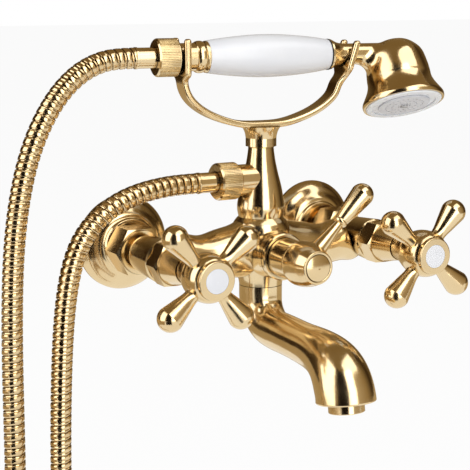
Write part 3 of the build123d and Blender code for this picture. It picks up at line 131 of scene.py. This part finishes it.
@dataclass(frozen=True)
class Finish:
    """What a surface of the mixer is made of, and how it was finished.

    A pattern's grain is its real size in millimetres, and so are the bump's height and the
    crevices' reach. Mottle is the most that the second colour takes, and spread is how far
    the roughness strays from its middle.
    """

    name: str
    colour: str
    second_colour: str
    roughness: float
    metallic: float = 0.0
    mottle: float = 0.5
    mottle_grain: float = 30.0
    spread: float = 0.03
    spread_grain: float = 9.0
    bump_grain: float = 0.6
    bump_height: float = 0.01
    bump_stretch: Point = (1.0, 1.0, 1.0)
    # Painted shade: the colour laid where nearby parts close over a point; the reach is how far it
    # looks for them
    crevice_shade_colour: str = ""
    crevice_reach: float = 2.5
    ior: float = 1.5
    subsurface: float = 0.0

    def material(self) -> bpy.types.Material:
        """Builds the material at its first use, and then gives the same one.

        Returns:
            The material.
        """
        known = bpy.data.materials.get(self.name)
        if known:
            return known
        made = bpy.data.materials.new(self.name)
        made.use_nodes = True
        tree = made.node_tree
        tree.nodes.clear()
        place = node(tree, "TexCoord").outputs["Object"]
        shader = node(tree, "BsdfPrincipled", {
            "Metallic": self.metallic, "Subsurface Weight": self.subsurface})
        if not self.metallic:
            shader.inputs["IOR"].default_value = self.ior
        tree.links.new(self.colours(tree, place), shader.inputs["Base Color"])
        tree.links.new(self.gloss(tree, place), shader.inputs["Roughness"])
        tree.links.new(self.relief(tree, place), shader.inputs["Normal"])
        node(tree, "OutputMaterial", links={"Surface": shader.outputs[0]})
        made.diffuse_color = linear(self.colour)
        return made

    def grain(self, tree: bpy.types.NodeTree, place: bpy.types.NodeSocket, size: float,
              detail: float = 3.0) -> bpy.types.NodeSocket:
        """Adds a noise whose grain has a real size.

        Args:
            tree: the material's node tree.
            place: coordinates in metres.
            size: the grain in millimetres.
            detail: how many finer layers it has.

        Returns:
            The noise, from 0 to 1.
        """
        return node(tree, "TexNoise", {"Scale": 1 / (size * MM), "Detail": detail},
                    {"Vector": place}).outputs["Fac"]

    def colours(self, tree: bpy.types.NodeTree, place: bpy.types.NodeSocket
                ) -> bpy.types.NodeSocket:
        """Mottles the colour with its second one, and paints shade into the crevices.

        Args:
            tree: the material's node tree.
            place: coordinates in metres.

        Returns:
            The colour.
        """
        low, high = MOTTLE_SPAN
        share = node(tree, "MapRange", {"From Min": low, "From Max": high, "To Max": self.mottle},
                     {"Value": self.grain(tree, place, self.mottle_grain)})
        mixed = node(tree, "Mix", {"data_type": "RGBA", 6: linear(self.colour),
                                   7: linear(self.second_colour)},
                     {"Factor": share.outputs[0]}).outputs[2]
        if not self.crevice_shade_colour:
            return mixed
        # Painted shade: the colour darkens where nearby parts close over a point, as shade falls
        # in narrow joints
        open_share = node(tree, "AmbientOcclusion",
                          {"samples": 6, "Distance": self.crevice_reach * MM})
        closed, clear = CREVICE_SPAN
        keep = node(tree, "MapRange", {"From Min": closed, "From Max": clear},
                    {"Value": open_share.outputs["AO"]})
        return node(tree, "Mix", {"data_type": "RGBA", 6: linear(self.crevice_shade_colour)},
                    {"Factor": keep.outputs[0], 7: mixed}).outputs[2]

    def gloss(self, tree: bpy.types.NodeTree, place: bpy.types.NodeSocket
              ) -> bpy.types.NodeSocket:
        """Varies the roughness around its middle, as handling does.

        Args:
            tree: the material's node tree.
            place: coordinates in metres.

        Returns:
            The roughness.
        """
        low, high = GLOSS_SPAN
        return node(tree, "MapRange", {
            "From Min": low, "From Max": high, "To Min": self.roughness - self.spread,
            "To Max": self.roughness + self.spread,
        }, {"Value": self.grain(tree, place, self.spread_grain)}).outputs[0]

    def relief(self, tree: bpy.types.NodeTree, place: bpy.types.NodeSocket
               ) -> bpy.types.NodeSocket:
        """Adds the fine relief that the making left.

        Args:
            tree: the material's node tree.
            place: coordinates in metres.

        Returns:
            The bumped normal.
        """
        drawn = node(tree, "Mapping", {"Scale": self.bump_stretch}, {"Vector": place})
        height = self.grain(tree, drawn.outputs[0], self.bump_grain, 2.0)
        return node(tree, "Bump", {"Strength": 1.0, "Distance": self.bump_height * MM},
                    {"Height": height}).outputs[0]


# A finish's crevice shade colour is painted shade, laid where nearby parts close over a point
# Brass cast, turned and buffed on a wheel, then plated gold and lacquered: a near mirror,
# warmer where the plating is thick, with hazy smudges from hands
POLISHED_BRASS = Finish(
    "polished_gold_brass", "EBD4A8", "DCBD8A", 0.17, metallic=1.0, mottle=0.55,
    mottle_grain=38.0, spread=0.035, spread_grain=14.0, bump_grain=2.2, bump_height=0.0022,
    crevice_shade_colour="241604", crevice_reach=3.6,
)
# The same plating on cast brass that was only tumbled before it, as inside the unions
WAVY_BRASS = Finish(
    "plated_cast_brass", "E6CB98", "D5B27A", 0.14, metallic=1.0, mottle=0.6,
    mottle_grain=24.0, spread=0.04, spread_grain=9.0, bump_grain=5.0, bump_height=0.012,
    crevice_shade_colour="2E2010", crevice_reach=3.2,
)
# Brass strip wound and interlocked, with a random spread of roughness, and painted shade darkening
# the grooves between the turns
HOSE_BRASS = Finish(
    "wound_brass_strip", "E6CDA0", "CCAB78", 0.16, metallic=1.0, mottle=0.5,
    mottle_grain=11.0, spread=0.05, spread_grain=5.0, bump_grain=1.2, bump_height=0.003,
    crevice_shade_colour="1E1002", crevice_reach=1.8,
)
# Brass cut by a knurling wheel: the cut grooves scatter light and look matt and greener
KNURLED_BRASS = Finish(
    "knurled_brass", "CDB586", "AD9462", 0.32, metallic=1.0, mottle=0.7,
    mottle_grain=2.0, spread=0.08, spread_grain=2.0, bump_grain=0.45, bump_height=0.03,
    crevice_shade_colour="54401F", crevice_reach=0.8,
)
# Machined brass, unplated, with the lathe's fine lines
MACHINED_BRASS = Finish(
    "machined_brass", "CFAE70", "BD9756", 0.24, metallic=1.0, mottle=0.6,
    mottle_grain=12.0, spread=0.05, bump_grain=0.5, bump_height=0.008,
    bump_stretch=(0.1, 1.0, 0.1), crevice_shade_colour="4B3719",
)
# Porcelain dipped in white glaze and fired: a soft, slightly wavy shine on a cool white
PORCELAIN = Finish(
    "white_glazed_porcelain", "DDDEE1", "D3D5DB", 0.24, mottle=0.6, mottle_grain=26.0,
    spread=0.03, spread_grain=16.0, bump_grain=7.0, bump_height=0.02,
)
# Acetal moulded in white: waxy, with the die's fine texture
WHITE_ACETAL = Finish(
    "white_acetal", "EFF0F3", "E6E7EC", 0.3, mottle=0.5, mottle_grain=18.0,
    spread=0.05, spread_grain=4.0, bump_grain=0.5, bump_height=0.006, ior=1.48,
    crevice_shade_colour="A9ABB4", crevice_reach=1.2, subsurface=0.05,
)
# Silicone moulded in pale grey: matt and soft, so that lime rubs off
GREY_SILICONE = Finish(
    "pale_grey_silicone", "DADBDF", "CDCFD5", 0.42, mottle=0.6, mottle_grain=3.0,
    spread=0.06, spread_grain=3.0, bump_grain=0.8, bump_height=0.015, ior=1.41,
    crevice_shade_colour="8E9098", crevice_reach=1.2,
)
# Black EPDM rubber, moulded: matt with a dusty bloom
RUBBER = Finish(
    "black_rubber", "1B1A19", "2A2826", 0.62, mottle=0.7, mottle_grain=5.0,
    spread=0.08, bump_grain=0.4, bump_height=0.02, ior=1.52,
)
# Stainless steel, cold headed: bright with drawn lines
STEEL = Finish(
    "stainless_steel", "C9C9CB", "B4B4B7", 0.26, metallic=1.0, mottle=0.5,
    mottle_grain=4.0, spread=0.05, bump_grain=0.4, bump_height=0.006,
)
# Alumina discs, lapped flat: hard white with a dull shine
LAPPED_CERAMIC = Finish(
    "lapped_alumina", "E7E4DB", "DCD8CD", 0.2, mottle=0.5, mottle_grain=2.5,
    spread=0.04, bump_grain=0.3, bump_height=0.003, ior=1.76,
)


def dress(finish: Finish, *names: str) -> None:
    """Gives carried-over solids their finish.

    Args:
        finish: what they are made of.
        names: their node names.
    """
    for name in names:
        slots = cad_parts[name].data.materials
        if not len(slots):
            slots.append(None)
        for place in range(len(slots)):
            slots[place] = finish.material()
    log.info("%s: %s", finish.name, ", ".join(names))


def link_mesh(name: str, points: Sequence[Sequence[float]], faces: Iterable[Sequence[int]],
              finish: Finish, sharp_angle: float = 32.0) -> bpy.types.Object:
    """Makes a smooth shaded object from points and faces.

    Args:
        name: the piece's name.
        points: corners in metres, in the mixer's frame.
        faces: the corners of each face.
        finish: what it is made of.
        sharp_angle: edges that bend by more than these degrees stay sharp.

    Returns:
        The new object, in the scene.
    """
    mesh = bpy.data.meshes.new(name)
    mesh.from_pydata([tuple(p) for p in points], [], [tuple(f) for f in faces])
    cleaner = bmesh.new()
    cleaner.from_mesh(mesh)
    bmesh.ops.dissolve_degenerate(cleaner, dist=1e-6, edges=cleaner.edges[:])
    bmesh.ops.recalc_face_normals(cleaner, faces=cleaner.faces[:])
    cleaner.to_mesh(mesh)
    cleaner.free()
    mesh.materials.append(finish.material())
    mesh.shade_smooth()
    mesh.set_sharp_from_angle(angle=math.radians(sharp_angle))
    piece = bpy.data.objects.new(name, mesh)
    bpy.context.collection.objects.link(piece)
    return piece


def turned(name: str, outline: Sequence[tuple[float, float]], count: int, place: Matrix,
           finish: Finish, waves: Callable[[int, int], float] | None = None
           ) -> bpy.types.Object:
    """Turns a closed outline about its axis, with its radius waved where asked.

    Args:
        name: the piece's name.
        outline: (radius, height) points in millimetres, going round the section.
        count: the corners round one turn.
        place: where the axis and its origin are, in metres.
        finish: what it is made of.
        waves: what each corner adds to the radius, from its place round and its point.

    Returns:
        The new object.
    """
    points, faces = [], []
    rows = len(outline)
    for i in range(count):
        angle = math.tau * i / count
        for j, (radius, height) in enumerate(outline):
            full = (radius + (waves(i, j) if waves else 0.0)) * MM
            local = Vector((full * math.cos(angle), full * math.sin(angle), height * MM))
            points.append(place @ local)
    for i in range(count):
        after = (i + 1) % count
        for j in range(rows):
            up = (j + 1) % rows
            faces.append((i * rows + j, after * rows + j, after * rows + up, i * rows + up))
    return link_mesh(name, points, faces, finish)


@dataclass(frozen=True)
class PhotoCamera:
    """The camera where the photograph was taken from."""

    place: Point = (-0.458617, -0.849994, 0.171496)
    azimuth: float = -29.03
    elevation: float = 10.18
    focal_pixels: float = 1390.29
    image_width: float = 470.0
    sensor: float = 36.0
    clip: tuple[float, float] = (0.01, 50.0)

    def build(self) -> bpy.types.Object:
        """Sets the scene's camera.

        Returns:
            The camera.
        """
        data = bpy.data.cameras.new("photo_camera")
        data.sensor_width = self.sensor
        data.lens = self.focal_pixels / self.image_width * self.sensor
        data.clip_start, data.clip_end = self.clip
        camera = bpy.data.objects.new("photo_camera", data)
        around, up = math.radians(self.azimuth), math.radians(self.elevation)
        back = Vector((math.sin(around) * math.cos(up), -math.cos(around) * math.cos(up),
                       math.sin(up)))
        right = Vector((0, 0, 1)).cross(back).normalized()
        turn = Matrix((right, back.cross(right), back)).transposed().to_4x4()
        camera.matrix_world = Matrix.Translation(self.place) @ turn
        bpy.context.collection.objects.link(camera)
        bpy.context.scene.camera = camera
        return camera


@dataclass
class HoseLine:
    """A smooth line that the hose and the pieces along it follow."""

    route: Sequence[Point]
    steps: int = 8
    points: np.ndarray = field(init=False)
    travelled: np.ndarray = field(init=False)
    sideways: np.ndarray = field(init=False)

    def __post_init__(self) -> None:
        """Reads the points of the route's NURBS spline, and carries a frame along them."""
        curve = bpy.data.curves.new("hose_route", "CURVE")
        curve.dimensions = "3D"
        spline = curve.splines.new("NURBS")
        spline.points.add(len(self.route) - 1)
        for control, place in zip(spline.points, self.route):
            control.co = (*place, 1.0)
        spline.order_u = 3
        spline.use_endpoint_u = True
        spline.resolution_u = self.steps
        holder = bpy.data.objects.new("hose_route", curve)
        mesh = bpy.data.meshes.new_from_object(holder)
        self.points = np.array([v.co[:] for v in mesh.vertices])
        bpy.data.objects.remove(holder)
        bpy.data.meshes.remove(mesh)
        bpy.data.curves.remove(curve)
        runs = np.linalg.norm(np.diff(self.points, axis=0), axis=1)
        self.travelled = np.concatenate([[0.0], np.cumsum(runs)])
        tangents = np.gradient(self.points, self.travelled, axis=0)
        side = Vector((0.0, 1.0, 0.0))
        carried = []
        for tangent in tangents:
            along = Vector(tangent).normalized()
            side = (side - along * side.dot(along)).normalized()
            carried.append(side[:])
        self.sideways = np.array(carried)

    @property
    def length(self) -> float:
        """The line's length in metres."""
        return float(self.travelled[-1])

    def between(self, first: float, last: float) -> list[Point]:
        """Gives the line's own points from one distance along it to another.

        Args:
            first: the first distance in metres.
            last: the last distance in metres.

        Returns:
            The points, with the two places themselves at the ends.
        """
        keep = (self.travelled > first) & (self.travelled < last)
        ends = self.at(np.array([first, last]))[0]
        return [tuple(map(float, p)) for p in (ends[0], *self.points[keep], ends[1])]

    def at(self, places: np.ndarray) -> tuple[np.ndarray, np.ndarray, np.ndarray]:
        """Gives the line's centre and its two cross directions.

        Args:
            places: distances along the line in metres.

        Returns:
            Centres, sideways directions and upward directions.
        """
        def read(rows: np.ndarray, where: np.ndarray) -> np.ndarray:
            return np.stack([np.interp(where, self.travelled, rows[:, k]) for k in range(3)], 1)

        step = 1.5 * MM
        ahead, behind = np.minimum(places + step, self.length), np.maximum(places - step, 0.0)
        centres, side = read(self.points, places), read(self.sideways, places)
        along = read(self.points, ahead) - read(self.points, behind)
        along /= np.linalg.norm(along, axis=1, keepdims=True)
        side -= along * np.sum(side * along, axis=1, keepdims=True)
        side /= np.linalg.norm(side, axis=1, keepdims=True)
        return centres, side, np.cross(along, side)


@dataclass
class ShowerHose:
    """The hose of wound brass strip, from the outlet's ferrule to the handset's.

    It is drawn as two pieces that meet where it climbs from its loop. They are one hose of
    1.25 m, and their turns run on from one to the other.
    """

    diameter: float = 0.0134
    length: float = 1.25
    pitch: float = 0.0050
    corners: int = 26
    sharp_angle: float = 28.0
    # The strip's section over one turn: (share of the pitch, radius in metres)
    section: tuple[tuple[float, float], ...] = (
        (0.0, 0.00585), (0.11, 0.00585), (0.15, 0.00645), (0.24, 0.0067), (0.46, 0.00672),
        (0.66, 0.00662), (0.71, 0.00632), (0.76, 0.00648), (0.84, 0.00668), (0.94, 0.0064),
    )
    meeting_place: Point = (-0.2273, -0.0517, -0.346)
    loop_ramp: Point = (-1.0, 0.0, -0.3)
    loop_start: float = 0.214
    loop_end: float = 0.320
    climb_start: float = -0.30
    climb_end: float = 0.02
    route: tuple[Point, ...] = (
        (-0.0476, -0.059, 0.0454), (-0.061, -0.059, 0.0454), (-0.0746, -0.059, 0.0443),
        (-0.088, -0.059, 0.042), (-0.1008, -0.059, 0.038), (-0.1124, -0.059, 0.0318),
        (-0.1222, -0.059, 0.0236), (-0.1297, -0.059, 0.0136), (-0.1348, -0.059, 0.002),
        (-0.1382, -0.059, -0.011), (-0.1409, -0.059, -0.027), (-0.143, -0.0591, -0.048),
        (-0.1447, -0.0593, -0.076), (-0.146, -0.0596, -0.11), (-0.1466, -0.06, -0.147),
        (-0.1456, -0.0604, -0.184), (-0.1408, -0.0608, -0.219), (-0.1305, -0.0612, -0.252),
        (-0.1145, -0.0614, -0.284), (-0.0985, -0.0613, -0.314), (-0.0885, -0.0609, -0.344),
        (-0.0872, -0.0603, -0.374), (-0.0958, -0.0596, -0.402), (-0.114, -0.0586, -0.424),
        (-0.1395, -0.0574, -0.4365), (-0.168, -0.056, -0.437), (-0.1945, -0.0546, -0.425),
        (-0.2145, -0.0533, -0.404), (-0.226, -0.0523, -0.3765), (-0.2273, -0.0517, -0.346),
        (-0.2195, -0.0513, -0.3155), (-0.205, -0.0511, -0.285), (-0.1908, -0.051, -0.252),
        (-0.1808, -0.051, -0.215), (-0.1756, -0.051, -0.176), (-0.1736, -0.0509, -0.137),
        (-0.1734, -0.0506, -0.098), (-0.1732, -0.0502, -0.06), (-0.1722, -0.0496, -0.025),
        (-0.1702, -0.0489, 0.006), (-0.1669, -0.0482, 0.031), (-0.1622, -0.0476, 0.053),
        (-0.1566, -0.0471, 0.0706), (-0.1498, -0.0467, 0.0854), (-0.1422, -0.0464, 0.098),
        (-0.1334, -0.0461, 0.1088), (-0.1232, -0.0459, 0.1174), (-0.1119, -0.0459, 0.1232),
        (-0.09955, -0.04678, 0.1263), (-0.08625, -0.04841, 0.1263),
    )

    def build(self) -> list[bpy.types.Object]:
        """Returns:
            The lower and the upper piece.
        """
        line = HoseLine(self.route)
        turns = round(line.length / self.pitch)
        away = np.linalg.norm(line.points - np.array(self.meeting_place), axis=1)
        meeting = int(line.travelled[int(np.argmin(away))] / line.length * turns)
        lower, upper = self.wind(line, turns, meeting)
        split = meeting / turns * line.length
        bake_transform(lower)
        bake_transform(upper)
        spans = (
            (lower, 0.0, split, line.between(0.0, split)[0], ["outlet_ferrule"]),
            (upper, split, line.length, line.between(split, line.length)[-1], ["handset_ferrule"]),
        )
        for piece, first, last, leaves, fittings in spans:
            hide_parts("shower_hose")
            line.between(first, last)
        log.info("hose: %.3f m along its line, %d turns", line.length, turns)
        return [lower, upper]

    def wind(self, line: HoseLine, turns: int, meeting: int) -> list[bpy.types.Object]:
        """Winds the strip round the line, and parts it after the meeting turn.

        Args:
            line: the hose's line.
            turns: how many turns the whole hose has.
            meeting: the turn where the lower piece ends.

        Returns:
            The lower and the upper piece.
        """
        corners, rows = self.corners, len(self.section)
        step = line.length / turns
        columns = np.arange(-corners, (turns + 1) * corners + 1)
        grid = np.zeros((len(columns), rows, 3))
        angles = math.tau * columns / corners
        for j, (share, radius) in enumerate(self.section):
            places = np.clip((columns / corners + share) * step, 0.0, line.length)
            centres, side, up = line.at(places)
            grid[:, j] = centres + radius * (
                np.cos(angles)[:, None] * side + np.sin(angles)[:, None] * up)
        whole: dict[int, list[tuple[int, ...]]] = {0: [], 1: []}
        for i in range(len(columns) - 1):
            part = 0 if columns[i] < meeting * corners else 1
            for j in range(rows):
                beside = i if j < rows - 1 else i + corners
                row = j + 1 if j < rows - 1 else 0
                if beside + 1 < len(columns):
                    whole[part].append((i * rows + j, (i + 1) * rows + j,
                                        (beside + 1) * rows + row, beside * rows + row))
        flat = grid.reshape(-1, 3)
        pieces = []
        for part, name in enumerate(("hose_lower_run", "hose_upper_run")):
            used = sorted({corner for face in whole[part] for corner in face})
            renamed = {old: new for new, old in enumerate(used)}
            faces = [tuple(renamed[c] for c in face) for face in whole[part]]
            pieces.append(link_mesh(name, flat[used], faces, HOSE_BRASS,
                                    sharp_angle=self.sharp_angle))
        return pieces


@dataclass
class HoseNut:
    """The knurled band of a nut at the hose's end, in millimetres, over the nut's own solid."""

    name: str
    node_name: str
    body: Body
    axis: Point
    radius: float = 12.0
    half_band: float = 6.4
    band_depth: float = 0.4
    groove_depth: float = 0.05
    run_out: float = 0.35
    ridges: int = 72
    ridge_height: float = 0.3

    def build(self) -> bpy.types.Object:
        """Cuts the knurled band round the nut's middle.

        Returns:
            The band.
        """
        low_corner, high_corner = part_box(self.node_name)
        middle = tuple((a + b) / 2 for a, b in zip(low_corner, high_corner))
        turn = Vector((0, 0, 1)).rotation_difference(Vector(self.axis)).to_matrix().to_4x4()
        place = Matrix.Translation(middle) @ turn
        low, top = self.radius - self.band_depth, self.radius - self.groove_depth
        end, slope = self.half_band, self.run_out
        outline = ((low, -end), (top, -end), (top, -end + slope), (top, end - slope),
                   (top, end), (low, end))
        ridge_rows = (2, 3)
        corners_per_ridge = 3

        def knurl(i: int, j: int) -> float:
            return self.ridge_height if i % corners_per_ridge == 0 and j in ridge_rows else 0.0

        corners = self.ridges * corners_per_ridge
        piece = turned(self.name, outline, corners, place, KNURLED_BRASS, knurl)
        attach(piece, self.body.value)
        return piece


@dataclass
class WaterFittings:
    """Wall unions, roses, nuts, the body casting and what is inside them."""

    plated: tuple[str, ...] = ("mixer_body", "union_nut_left", "union_nut_right",
                               "wall_rose_left", "wall_rose_right")
    cast: tuple[str, ...] = ("wall_union_left", "wall_union_right")
    seals: tuple[str, ...] = ("union_washers", "seat_seals", "spout_seal", "diverter_seals",
                              "column_washers", "handset_washer", "handset_grip_seal")

    def build(self) -> None:
        """Dresses the castings, the nuts and the seals."""
        dress(POLISHED_BRASS, *self.plated)
        dress(WAVY_BRASS, *self.cast)
        dress(RUBBER, *self.seals)


@dataclass
class Valve:
    """One valve: shroud, cross handle, porcelain button and ceramic headwork."""

    side: Side

    def build(self) -> None:
        """Dresses the valve's pieces."""
        end = "_" + self.side.value
        dress(POLISHED_BRASS, "shroud" + end, "handle" + end, "cap_ring" + end)
        dress(PORCELAIN, "button" + end)
        dress(MACHINED_BRASS, "headwork" + end, "spindle" + end)
        dress(LAPPED_CERAMIC, "turning_disc" + end)
        dress(STEEL, "handle_screw" + end)


@dataclass
class Diverter:
    """The lever on the front of the body, with its knob and drum."""

    plated: tuple[str, ...] = ("diverter_bezel", "diverter_bonnet", "diverter_knob",
                               "diverter_cap", "diverter_lever")

    def build(self) -> None:
        """Dresses the diverter."""
        dress(POLISHED_BRASS, *self.plated)
        dress(MACHINED_BRASS, "diverter_spindle")
        dress(STEEL, "diverter_screw")
        dress(LAPPED_CERAMIC, "fixed_discs")


@dataclass
class Column:
    """The column with the hose outlet, and the cradle that turns on it."""

    def build(self) -> None:
        """Dresses the column and the cradle, and knurls the outlet's nut."""
        dress(POLISHED_BRASS, "riser_column", "cradle", "outlet_ferrule", "outlet_hose_nut")
        dress(STEEL, "cradle_pivot")
        dress(MACHINED_BRASS, "cradle_washer")
        HoseNut("outlet_nut_knurling", "outlet_hose_nut", Body.MIXER, (1.0, 0.0, 0.0)).build()


@dataclass
class Handset:
    """The handset: fittings, porcelain grip and spray head, turned with its cradle."""

    yaw: float = -7.0
    plated: tuple[str, ...] = ("handset_connector", "handset_collar", "handset_bell_collar",
                               "handset_head", "handset_ferrule", "handset_hose_nut")

    def build(self) -> None:
        """Dresses the handset and knurls its nut."""
        dress(POLISHED_BRASS, *self.plated)
        dress(MACHINED_BRASS, "handset_core_tube")
        dress(PORCELAIN, "handset_grip")
        dress(WHITE_ACETAL, "spray_face")
        dress(GREY_SILICONE, "spray_disc")
        dress(STEEL, "spray_screw")
        around = math.radians(self.yaw)
        HoseNut("handset_nut_knurling", "handset_hose_nut", Body.HANDSET,
                (math.cos(around), math.sin(around), 0.0)).build()


@dataclass
class Spout:
    """The spout that swivels under the body, with its aerator."""

    def build(self) -> None:
        """Dresses the spout and the aerator."""
        dress(POLISHED_BRASS, "spout", "aerator_housing")
        dress(WHITE_ACETAL, "aerator_insert")
        dress(STEEL, "spout_screw")


@dataclass(frozen=True)
class Softbox:
    """A soft lamp that stands round the mixer and faces it."""

    name: str
    azimuth: float
    elevation: float
    distance: float
    width: float
    height: float
    radiance: float

    def build(self) -> None:
        """Adds the lamp, out of the camera's sight."""
        data = bpy.data.lights.new(self.name, "AREA")
        data.shape = "RECTANGLE"
        data.size, data.size_y = self.width, self.height
        data.energy = self.radiance * math.pi * self.width * self.height
        made = bpy.data.objects.new(self.name, data)
        bpy.context.collection.objects.link(made)
        made.visible_camera = False
        around, up = math.radians(self.azimuth), math.radians(self.elevation)
        out = Vector((math.sin(around) * math.cos(up), -math.cos(around) * math.cos(up),
                      math.sin(up)))
        turn = out.to_track_quat("Z", "Y").to_matrix().to_4x4()
        made.matrix_world = Matrix.Translation(out * self.distance) @ turn


@dataclass(frozen=True)
class Screen:
    """A glowing screen round the mixer that only the metal shows: it neither lights nor shades,
    and its glow is painted light.

    It spans an arc of the studio, from an inner edge to an outer one, each with its own
    radius and height, so it stands as a wall or lies flat on the floor. Its glow is the painted
    light and shade of the room, and runs from one colour at the arc's start to another at its
    end, as painted light falling off along a wall.
    """

    name: str
    colours: tuple[str, str]
    arc: tuple[float, float]
    inner: tuple[float, float] = (3.6, -0.44)
    outer: tuple[float, float] = (3.6, 3.2)
    strips: int = 24

    def build(self) -> None:
        """Adds the screen with its run of tone."""
        reflected_glow = bpy.data.materials.new(self.name + "_cloth")
        reflected_glow.use_nodes = True
        reflected_glow.cycles.emission_sampling = "NONE"
        reflected_glow.node_tree.nodes.clear()
        along = node(reflected_glow.node_tree, "Attribute", {"attribute_name": "along"}).outputs["Fac"]
        tint = node(reflected_glow.node_tree, "Mix", {"data_type": "RGBA", 6: linear(self.colours[0]),
                                             7: linear(self.colours[1])}, {"Factor": along})
        # Painted light: the screen glows in its tone, which only glossy rays see
        tone = node(reflected_glow.node_tree, "Emission", {"Strength": 1.0}, {"Color": tint.outputs[2]})
        node(reflected_glow.node_tree, "OutputMaterial", links={"Surface": tone.outputs[0]})
        count = self.strips
        first, last = (math.radians(angle) for angle in self.arc)
        angles = [first + (last - first) * i / count for i in range(count + 1)]
        points = [(radius * math.sin(a), -radius * math.cos(a), height)
                  for radius, height in (self.inner, self.outer) for a in angles]
        faces = [(i, i + 1, count + 2 + i, count + 1 + i) for i in range(count)]
        mesh = bpy.data.meshes.new(self.name)
        mesh.from_pydata(points, [], faces)
        mesh.materials.append(reflected_glow)
        shares = mesh.attributes.new("along", "FLOAT", "POINT")
        shares.data.foreach_set("value", [i / count for i in range(count + 1)] * 2)
        made = bpy.data.objects.new(self.name, mesh)
        bpy.context.collection.objects.link(made)
        for way in ("camera", "diffuse", "transmission", "volume_scatter", "shadow"):
            setattr(made, "visible_" + way, False)


@dataclass
class Studio:
    """A pale floor, soft boxes round the camera, and the room's light and shade painted on glowing
    screens.
    """

    floor_height: float = -0.452
    floor_size: float = 40.0
    floor_colour: str = "F6F6F6"
    floor_second_colour: str = "F4F4F4"
    floor_speck: float = 1 / 900
    floor_glow: float = 0.93
    ambient: float = 0.42
    lamps: tuple[Softbox, ...] = (
        Softbox("softbox_right", -3.5, 20.0, 2.7, 1.45, 3.2, 2.6),
        Softbox("softbox_left", -93.0, 20.0, 2.7, 2.3, 3.2, 2.2),
        Softbox("softbox_top", 25.0, 56.0, 2.5, 2.2, 1.3, 1.9),
    )
    # Painted reflections of the room: glowing screens in the lit and shaded tones of its walls,
    # ceiling and carpet, and black ones beside the camera
    screens: tuple[Screen, ...] = (
        Screen("wall_left", ("26180A", "745F3E"), (-165.0, -66.0)),
        Screen("wall_middle", ("927F64", "927F64"), (-66.0, -12.0)),
        Screen("wall_right", ("CCBFA6", "9A8560"), (-12.0, 58.0)),
        Screen("wall_far_right", ("9A8560", "33230F"), (58.0, 90.0)),
        Screen("wall_back", ("33230F", "85704C"), (90.0, 142.0)),
        Screen("wall_far_back", ("85704C", "33230F"), (142.0, 195.0)),
        Screen("ceiling", ("806B47", "806B47"), (-180.0, 180.0), (0.0, 3.2), (3.6, 3.2)),
        Screen("carpet", ("C0AE8C", "A8926C"), (66.0, 290.0), (0.7, -0.446), (3.6, -0.446)),
        Screen("black_screen", ("0E0500", "0E0500"), (-60.0, -18.0), (2.4, -0.43), (2.4, 2.8)),
        Screen("floor_cloth", ("0E0500", "0E0500"), (-60.0, -18.0), (0.75, -0.445), (2.4, -0.44)),
    )

    def build(self) -> None:
        """Builds the floor, the world, the lamps and the screens."""
        self.build_floor()
        self.build_world()
        for piece in self.lamps + self.screens:
            piece.build()
        bpy.context.scene.view_settings.view_transform = "Standard"

    def seen(self, tree: bpy.types.NodeTree) -> bpy.types.NodeSocket:
        """Picks the rays that show the background: the camera's, or off or through a piece.

        Args:
            tree: the material's or world's node tree.

        Returns:
            1 for those rays, and 0 for the rays that only light the mixer.
        """
        path = node(tree, "LightPath")
        first = node(tree, "Math", {"operation": "MAXIMUM"}, {
            0: path.outputs["Is Camera Ray"], 1: path.outputs["Is Glossy Ray"]})
        return node(tree, "Math", {"operation": "MAXIMUM"}, {
            0: first.outputs[0], 1: path.outputs["Is Transmission Ray"]}).outputs[0]

    def build_floor(self) -> None:
        """Lays the pale floor, which shows white and keeps the mixer's shadow."""
        made = bpy.data.materials.new("pale_painted_board")
        made.use_nodes = True
        tree = made.node_tree
        tree.nodes.clear()
        place = node(tree, "TexCoord").outputs["Object"]
        speck = node(tree, "TexNoise", {"Scale": 1 / self.floor_speck}, {"Vector": place})
        tint = node(tree, "Mix", {"data_type": "RGBA", 6: linear(self.floor_colour),
                                  7: linear(self.floor_second_colour)},
                    {"Factor": speck.outputs["Fac"]})
        board = node(tree, "BsdfDiffuse", links={"Color": tint.outputs[2]})
        glow = node(tree, "Emission", {"Color": linear("FFFFFF"), "Strength": 1.0})
        share = node(tree, "Math", {"operation": "MULTIPLY", 1: self.floor_glow},
                     {0: self.seen(tree)})
        mixed = node(tree, "MixShader", links={0: share.outputs[0], 1: board.outputs[0],
                                               2: glow.outputs[0]})
        node(tree, "OutputMaterial", links={"Surface": mixed.outputs[0]})
        half = self.floor_size / 2
        corners = [(x * half, y * half, self.floor_height) for x, y in
                   ((-1, -1), (1, -1), (1, 1), (-1, 1))]
        mesh = bpy.data.meshes.new("studio_floor")
        mesh.from_pydata(corners, [], [(0, 1, 2, 3)])
        mesh.materials.append(made)
        floor = bpy.data.objects.new("studio_floor", mesh)
        bpy.context.collection.objects.link(floor)

    def build_world(self) -> None:
        """Lights the studio evenly, and shows white behind the mixer."""
        world = bpy.data.worlds.new("studio")
        bpy.context.scene.world = world
        world.use_nodes = True
        tree = world.node_tree
        tree.nodes.clear()
        fill = node(tree, "Background", {"Color": linear("FFFDFA"), "Strength": self.ambient})
        white = node(tree, "Background", {"Color": linear("FFFFFF"), "Strength": 1.0})
        mixed = node(tree, "MixShader", links={0: self.seen(tree), 1: fill.outputs[0],
                                               2: white.outputs[0]})
        node(tree, "OutputWorld", links={"Surface": mixed.outputs[0]})


def main() -> None:
    """Builds the studio, then every part of the mixer."""
    logging.basicConfig(level=logging.INFO, format="%(name)s: %(message)s")
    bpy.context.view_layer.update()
    PhotoCamera().build()
    ShowerHose().build()
    for part in (WaterFittings(), Valve(Side.LEFT), Valve(Side.RIGHT), Diverter(), Column(),
                 Handset(), Spout(), Studio()):
        part.build()
        log.info("built %s", type(part).__name__)


if __name__ == "__main__":
    main()
